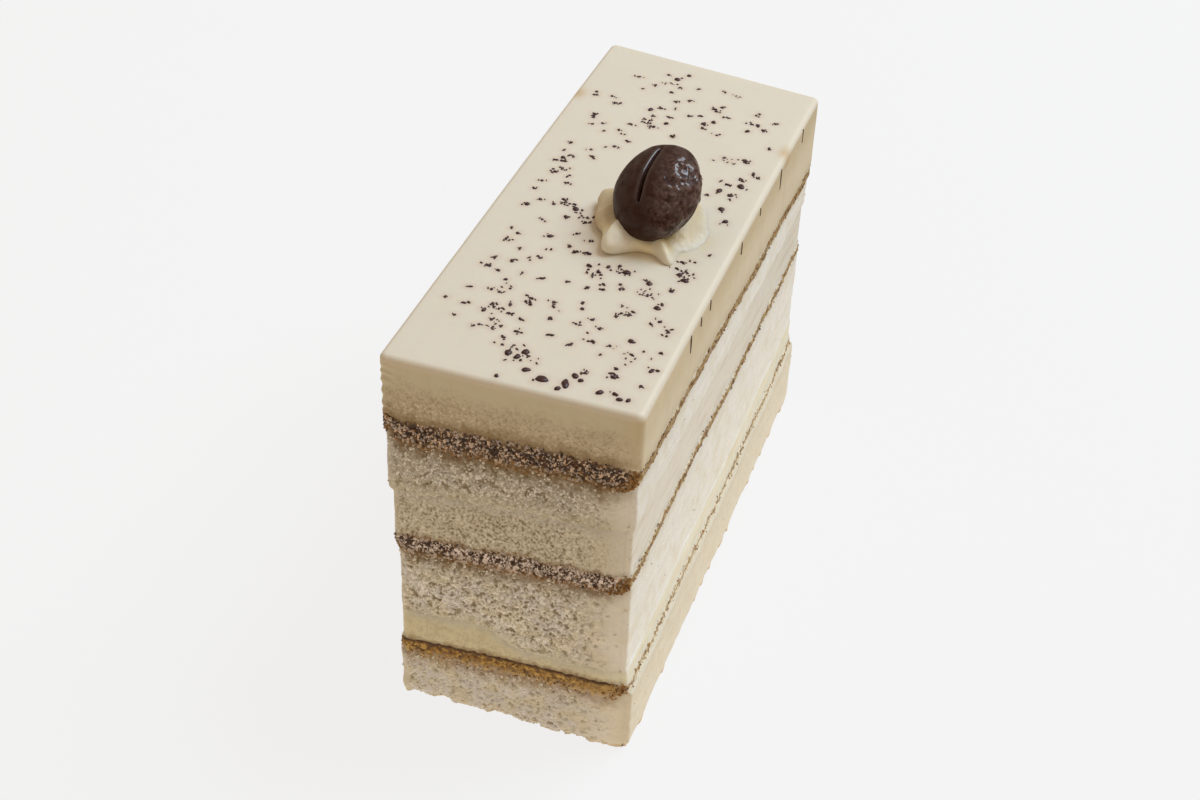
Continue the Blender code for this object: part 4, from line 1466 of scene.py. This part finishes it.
def speck_finish(colours):
    """Small dark drops, reddish where they are thin."""
    f = Finish("chocolate_speck", Specular_IOR_Level=0.5)
    speck = shades(colours.speck)
    colour = f.blend(speck(1.0), speck(2.0, 1.6, 1.6), f.step(f.noise(0.4, 2.0), 0.45, 0.7))
    return f.finished(colour, 0.28 + 0.3 * f.noise(0.7), f.noise(0.2, 2.0), 0.03)


def grain_finish(name, dark, light):
    """Loose grains, each with its own shade."""
    f = Finish(name, Specular_IOR_Level=0.35)
    shaded = f.step(f.noise(0.15, 1.0), 0.55, 0.7) * 0.5
    colour = f.coated(dark, (light, f.field("tone_and_shade")), (scaled(dark, 0.8), shaded))
    return f.finished(colour, 0.55 + 0.3 * f.noise(0.3), f.noise(0.1, 1.0), 0.02)


# Sizes and colours


def size(name, description, default, low, high):
    """A length that the user may change."""
    return FloatProperty(name=name, description=description, default=default * MM, min=low * MM,
                         max=high * MM, precision=6, subtype="DISTANCE", unit="LENGTH")


def colour(name, description, default):
    """A colour that the user may change."""
    return FloatVectorProperty(name=name, description=description, default=default, size=3,
                               min=0.0, max=1.0, subtype="COLOR")


class CakeSizes(bpy.types.PropertyGroup):
    crumb_depth: size("Crumb depth", "How far the grains of the sawn sponge stand out", 0.14, 0.0, 0.5)
    crumb_size: size("Crumb size", "Width of the grains of the sponge", 0.42, 0.3, 2.0)
    seam_depth: size("Seam depth", "How far the grains of the coffee seams stand out", 0.2, 0.0, 0.5)
    seam_size: size("Seam grain", "Width of the grains of the coffee seams", 0.4, 0.3, 2.0)
    frost_depth: size("Frost depth", "Depth of the fine grain on sawn cream", 0.07, 0.0, 0.3)
    speck_rise: size("Speck height", "How high the chocolate specks stand", 0.24, 0.05, 0.6)
    frost_grains: IntProperty(name="Frost grains", description="Grains of frost on the seams",
                              default=1500, min=10, max=5000)
    crumb_grains: IntProperty(name="Crumbs", description="Loose crumbs on the sawn sponge",
                              default=2600, min=10, max=8000)


class CakeColours(bpy.types.PropertyGroup):
    cream: colour("Top cream", "The smooth ivory top", (0.72, 0.66, 0.545))
    filling: colour("Filling", "The cream between the sponges", (0.64, 0.595, 0.44))
    piped: colour("Piped cream", "The rosette", (0.74, 0.68, 0.54))
    sponge: colour("Sponge", "The pale crumb", (0.68, 0.66, 0.6))
    coffee: colour("Coffee", "The darkest soaked crumb", (0.05, 0.027, 0.018))
    amber: colour("Amber", "Golden crumb of the lowest seam", (0.27, 0.145, 0.042))
    soaked: colour("Soaked", "Brown crumb beside the dark seams", (0.21, 0.13, 0.052))
    frost: colour("Frost", "The pinkish grains on the seams", (0.7, 0.61, 0.55))
    chocolate: colour("Chocolate", "The coffee bean", (0.034, 0.014, 0.0095))
    speck: colour("Speck", "The drops on the top", (0.035, 0.009, 0.008))
    floor: colour("Floor", "The plain floor", (0.905, 0.905, 0.905))


# Operators


class CAKE_OT_sponge_layers(bpy.types.Operator):
    """Builds the three sponge layers with their open crumb"""

    bl_idname = "cake.sponge_layers"
    bl_label = "Sponge Layers"

    def execute(self, context):
        material = sponge_finish(context.scene.cake_colours)
        for number in SPONGE_PAINTED_BOUNCE:
            make_layer(number, material, functools.partial(sponge_fields, number))
        return {"FINISHED"}


def sponge_fields(number, points):
    """Whether a sponge is the one at the foot, and how much painted bounce light its sawn front takes at
    each point.
    """
    low, high = LEVELS_AT_MIDDLE[number:number + 2]
    share = np.clip((points[:, 2] - low) / (high - low), 0, 1)
    foot = np.full(len(points), float(number == 0))
    return {"foot": foot, "light": mix(*SPONGE_PAINTED_BOUNCE[number], share)}


class CAKE_OT_coffee_seams(bpy.types.Operator):
    """Builds the three coffee-soaked seams"""

    bl_idname = "cake.coffee_seams"
    bl_label = "Coffee Seams"

    def execute(self, context):
        material = seam_finish(context.scene.cake_colours)
        for number in SEAM_FROST:
            make_layer(number, material, functools.partial(seam_fields, number))
        return {"FINISHED"}


def seam_fields(number, points):
    """How frosted a seam is."""
    return {"frost": np.full(len(points), SEAM_FROST[number])}


class CAKE_OT_cream_fillings(bpy.types.Operator):
    """Builds the two cream fillings"""

    bl_idname = "cake.cream_fillings"
    bl_label = "Cream Fillings"

    def execute(self, context):
        for number, name, tint, coarse in FILLINGS:
            make_layer(number, cream_finish(name, context.scene.cake_colours, tint, coarse))
        return {"FINISHED"}


class CAKE_OT_top_cream(bpy.types.Operator):
    """Builds the smooth top cream"""

    bl_idname = "cake.top_cream"
    bl_label = "Top Cream"

    def execute(self, context):
        make_layer(TOP, top_cream_finish(context.scene.cake_colours), top_fields)
        return {"FINISHED"}


def tinge(points, patches):
    """How strongly some patches tinge each point, from 0 to 1. A patch has a middle and a reach."""
    strongest = np.zeros(len(points))
    for x, y, across, deep in patches:
        apart = np.hypot((points[:, 0] - x) / across, (points[:, 1] - y) / deep)
        strongest = np.maximum(strongest, bell(apart))
    return strongest


def top_fields(points):
    """The tinge round each speck, two tan stains on the top edges, and a painted golden shadow by the
    rosette.
    """
    top, z = LEVELS["cake_top"][0], points[:, 2]
    halo = np.zeros(len(points))
    for middle, radius, _, _ in drops():
        apart = np.hypot(points[:, 0] - middle.x, points[:, 1] - middle.y)
        halo = np.maximum(halo, bell(np.clip(apart - radius, 0, None) / HALO_WIDTH))
    halo *= z > top - TOP_EDGE
    stain = STAIN_STRENGTH * tinge(points, STAINS) * (z > top - STAIN_DEPTH)
    return {"halo": halo, "stain": stain, "gold": tinge(points, GOLDEN_PAINTED_SHADOW)}


class CAKE_OT_chocolate_specks(bpy.types.Operator):
    """Scatters the chocolate specks on the top and the smears down the right side"""

    bl_idname = "cake.chocolate_specks"
    bl_label = "Chocolate Specks"

    def execute(self, context):
        chance = random.Random(SPECK_SEED + 2)
        shapes = [drop(chance, *one) for one in drops()]
        shapes += [smear(*one) for one in SMEARS]
        points, faces = gather(shapes)
        piece = make_piece("chocolate_specks", points, faces, speck_finish(context.scene.cake_colours))
        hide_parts("cream_top")
        return {"FINISHED"}


class CAKE_OT_rosette(bpy.types.Operator):
    """Pipes the rosette and presses the bean's hollow in it"""

    bl_idname = "cake.rosette"
    bl_label = "Rosette"

    def execute(self, context):
        points, faces, fields = rosette_shape()
        piece = make_piece("piped_rosette", points, faces, piped_finish(context.scene.cake_colours), fields)
        hollow = bean_shape(HOLLOW_ROOM, HOLLOW_RINGS, HOLLOW_SIDES, False)
        press(piece, *hollow[:2])
        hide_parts("cream_rosette")
        return {"FINISHED"}


def press(piece, points, faces):
    """Presses a closed shape into a piece and leaves its hollow."""
    mesh = bpy.data.meshes.new("hollow")
    mesh.from_pydata((points * MM).tolist(), [], faces)
    cutter = bpy.data.objects.new("hollow", mesh)
    bpy.context.scene.collection.objects.link(cutter)
    cut = piece.modifiers.new("hollow", "BOOLEAN")
    cut.operation = "DIFFERENCE"
    cut.object = cutter
    bpy.context.view_layer.update()
    seen = piece.evaluated_get(bpy.context.evaluated_depsgraph_get())
    pressed = bpy.data.meshes.new_from_object(seen)
    piece.modifiers.remove(cut)
    piece.data = pressed
    bpy.data.objects.remove(cutter, do_unlink=True)
    if not pressed.polygons:
        raise RuntimeError("the hollow took the whole piece away")


class CAKE_OT_coffee_bean(bpy.types.Operator):
    """Builds the chocolate coffee bean"""

    bl_idname = "cake.coffee_bean"
    bl_label = "Coffee Bean"

    def execute(self, context):
        points, faces, fields = bean_shape(0.0, BEAN_RINGS, BEAN_SIDES, True)
        piece = make_piece("chocolate_bean", points, faces, bean_finish(context.scene.cake_colours), fields)
        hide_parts("coffee_bean")
        return {"FINISHED"}


class CAKE_OT_loose_grains(bpy.types.Operator):
    """Scatters frost on the seams, and dark, amber and pale crumbs on the cut faces"""

    bl_idname = "cake.loose_grains"
    bl_label = "Loose Grains"

    def execute(self, context):
        sizes, colours = context.scene.cake_sizes, context.scene.cake_colours
        chance = np.random.default_rng(GRAIN_SEED)
        coffee, amber = shades(colours.coffee), shades(colours.amber)
        frost, sponge = shades(colours.frost), shades(colours.sponge)

        def frosty(fields):
            return fields["cut"] ** 2 * ease(fields["down"] / 1.2) + 0.02

        def fringe(fields):
            corner = WORN**2 * 14 * (1 - ease(fields["down"] / 2.5))
            return fields["cut"] * (1 - ease(fields["down"] / 1.3)) + corner + 0.12

        def crumbly(fields):
            return fields["cut"] * (1 - 0.97 * fields["worn"]) + 0.002

        plans = (
            ("frost_grains", (4, 7), sizes.frost_grains, frosty, 0.17, "coffee_seam",
             grain_finish("frost", frost(0.45), frost(1.0))),
            ("coffee_grains", (4, 7), sizes.frost_grains // 2, frosty, 0.17, "coffee_seam",
             grain_finish("soaked_grain", coffee(1.0), coffee(2.5))),
            ("amber_grains", (1, 4, 7), sizes.frost_grains, fringe, 0.15, "coffee_seam",
             grain_finish("amber_grain", amber(0.5), amber(1.8, 1.8, 2.0))),
            ("sponge_crumbs", (0, 3, 6), sizes.crumb_grains, crumbly, 0.2, "sponge",
             grain_finish("sponge_grain", sponge(0.9, 0.86, 0.78), sponge(1.25))),
        )
        for i, (name, numbers, count, liking, radius, slot, material) in enumerate(plans):
            places = pick_places(chance, numbers, count, liking)
            scatter(name, places, material, radius, 60 + i)
        return {"FINISHED"}


class CAKE_OT_stage(bpy.types.Operator):
    """Sets the floor, the soft light and the camera"""

    bl_idname = "cake.stage"
    bl_label = "Stage"

    def execute(self, context):
        scene = context.scene
        scene.view_settings.view_transform = "Standard"
        make_floor(tuple(scene.cake_colours.floor))
        make_lights(scene)
        camera = bpy.data.objects.new("camera", bpy.data.cameras.new("camera"))
        camera.location = Vector(CAMERA_PLACE) * MM
        camera.rotation_euler = Euler([math.radians(a) for a in CAMERA_TURN])
        camera.data.lens = CAMERA_LENS
        camera.data.clip_start = CAMERA_NEAR
        scene.collection.objects.link(camera)
        scene.camera = camera
        return {"FINISHED"}


def make_floor(colour):
    """A wide pale floor that turns up into a backdrop far behind, seen by the camera alone."""
    profile = [(radius, 0.0) for radius in FLOOR_RINGS]
    for a in np.linspace(*FLOOR_BEND_ANGLES):
        profile.append((FLOOR_RINGS[-1] + FLOOR_BEND * math.sin(a), FLOOR_BEND * (1 - math.cos(a))))
    profile.append(FLOOR_TOP)
    angles = [2 * math.pi * side / FLOOR_SIDES for side in range(FLOOR_SIDES)]
    points = [(0.0, 0.0, 0.0)]
    points += [(r * math.cos(a), r * math.sin(a), height) for r, height in profile for a in angles]
    faces = [[0, 1 + side, 1 + (side + 1) % FLOOR_SIDES] for side in range(FLOOR_SIDES)]
    faces += (1 + ring_quads(len(profile), FLOOR_SIDES, turned=True)).tolist()
    mesh = bpy.data.meshes.new("floor")
    mesh.from_pydata(points, [], faces)
    mesh.shade_smooth()
    floor = bpy.data.objects.new("floor", mesh)
    bpy.context.scene.collection.objects.link(floor)
    f = Finish("pale_floor", Roughness=0.9, Specular_IOR_Level=0.0, Emission_Strength=FLOOR_GLOW)
    f.set("Base Color", opaque(scaled(colour, FLOOR_SHADE)))
    f.set("Emission Color", opaque(colour))
    f.material.cycles.emission_sampling = "NONE"
    mesh.materials.append(f.material)
    floor.visible_diffuse = False
    floor.visible_glossy = False
    floor.visible_transmission = False
    floor.visible_shadow = False


def add_light(name, shape, size, power, colour):
    """A soft lamp that the camera doesn't see."""
    data = bpy.data.lights.new(name, "AREA")
    data.shape = shape
    data.size, data.size_y = size
    data.energy = power
    data.color = colour
    lamp = bpy.data.objects.new(name, data)
    lamp.visible_camera = False
    bpy.context.scene.collection.objects.link(lamp)
    return lamp


def make_lights(scene):
    """Warm light from all round, a cool key from the right above and behind, and floor bounce."""
    world = bpy.data.worlds.new("soft_room")
    scene.world = world
    world.use_nodes = True
    world.node_tree.nodes["Background"].inputs["Color"].default_value = ROOM_COLOUR
    toward = Vector(KEY_SIDE).normalized()
    key = add_light("key", "DISK", (KEY_SIZE, KEY_SIZE), KEY_POWER, KEY_COLOUR)
    key.location = toward * KEY_AWAY
    key.rotation_euler = toward.to_track_quat("Z", "Y").to_euler()
    bounce = add_light("bounce", "ELLIPSE", BOUNCE_SIZE, BOUNCE_POWER, BOUNCE_COLOUR)
    bounce.location = BOUNCE_PLACE
    bounce.rotation_euler = (math.pi, 0.0, 0.0)


STEPS = (
    "sponge_layers", "coffee_seams", "cream_fillings", "top_cream", "chocolate_specks",
    "rosette", "coffee_bean", "loose_grains", "stage",
)


class CAKE_PT_panel(bpy.types.Panel):
    """Sizes, colours and steps of the cake slice"""

    bl_idname = "CAKE_PT_panel"
    bl_label = "Cake Slice"
    bl_space_type = "VIEW_3D"
    bl_region_type = "UI"
    bl_category = "Cake"

    def draw(self, context):
        layout = self.layout
        for group in (context.scene.cake_sizes, context.scene.cake_colours):
            box = layout.box()
            for key in group.__annotations__:
                box.prop(group, key)
        for step in STEPS:
            layout.operator(f"cake.{step}")


CLASSES = (
    CakeSizes,
    CakeColours,
    CAKE_OT_sponge_layers,
    CAKE_OT_coffee_seams,
    CAKE_OT_cream_fillings,
    CAKE_OT_top_cream,
    CAKE_OT_chocolate_specks,
    CAKE_OT_rosette,
    CAKE_OT_coffee_bean,
    CAKE_OT_loose_grains,
    CAKE_OT_stage,
    CAKE_PT_panel,
)


def register():
    for kind in CLASSES:
        bpy.utils.register_class(kind)
    bpy.types.Scene.cake_sizes = PointerProperty(type=CakeSizes)
    bpy.types.Scene.cake_colours = PointerProperty(type=CakeColours)


def unregister():
    del bpy.types.Scene.cake_colours
    del bpy.types.Scene.cake_sizes
    for kind in reversed(CLASSES):
        bpy.utils.unregister_class(kind)


def main():
    register()
    for step in STEPS:
        getattr(bpy.ops.cake, step)()


if __name__ == "__main__":
    main()
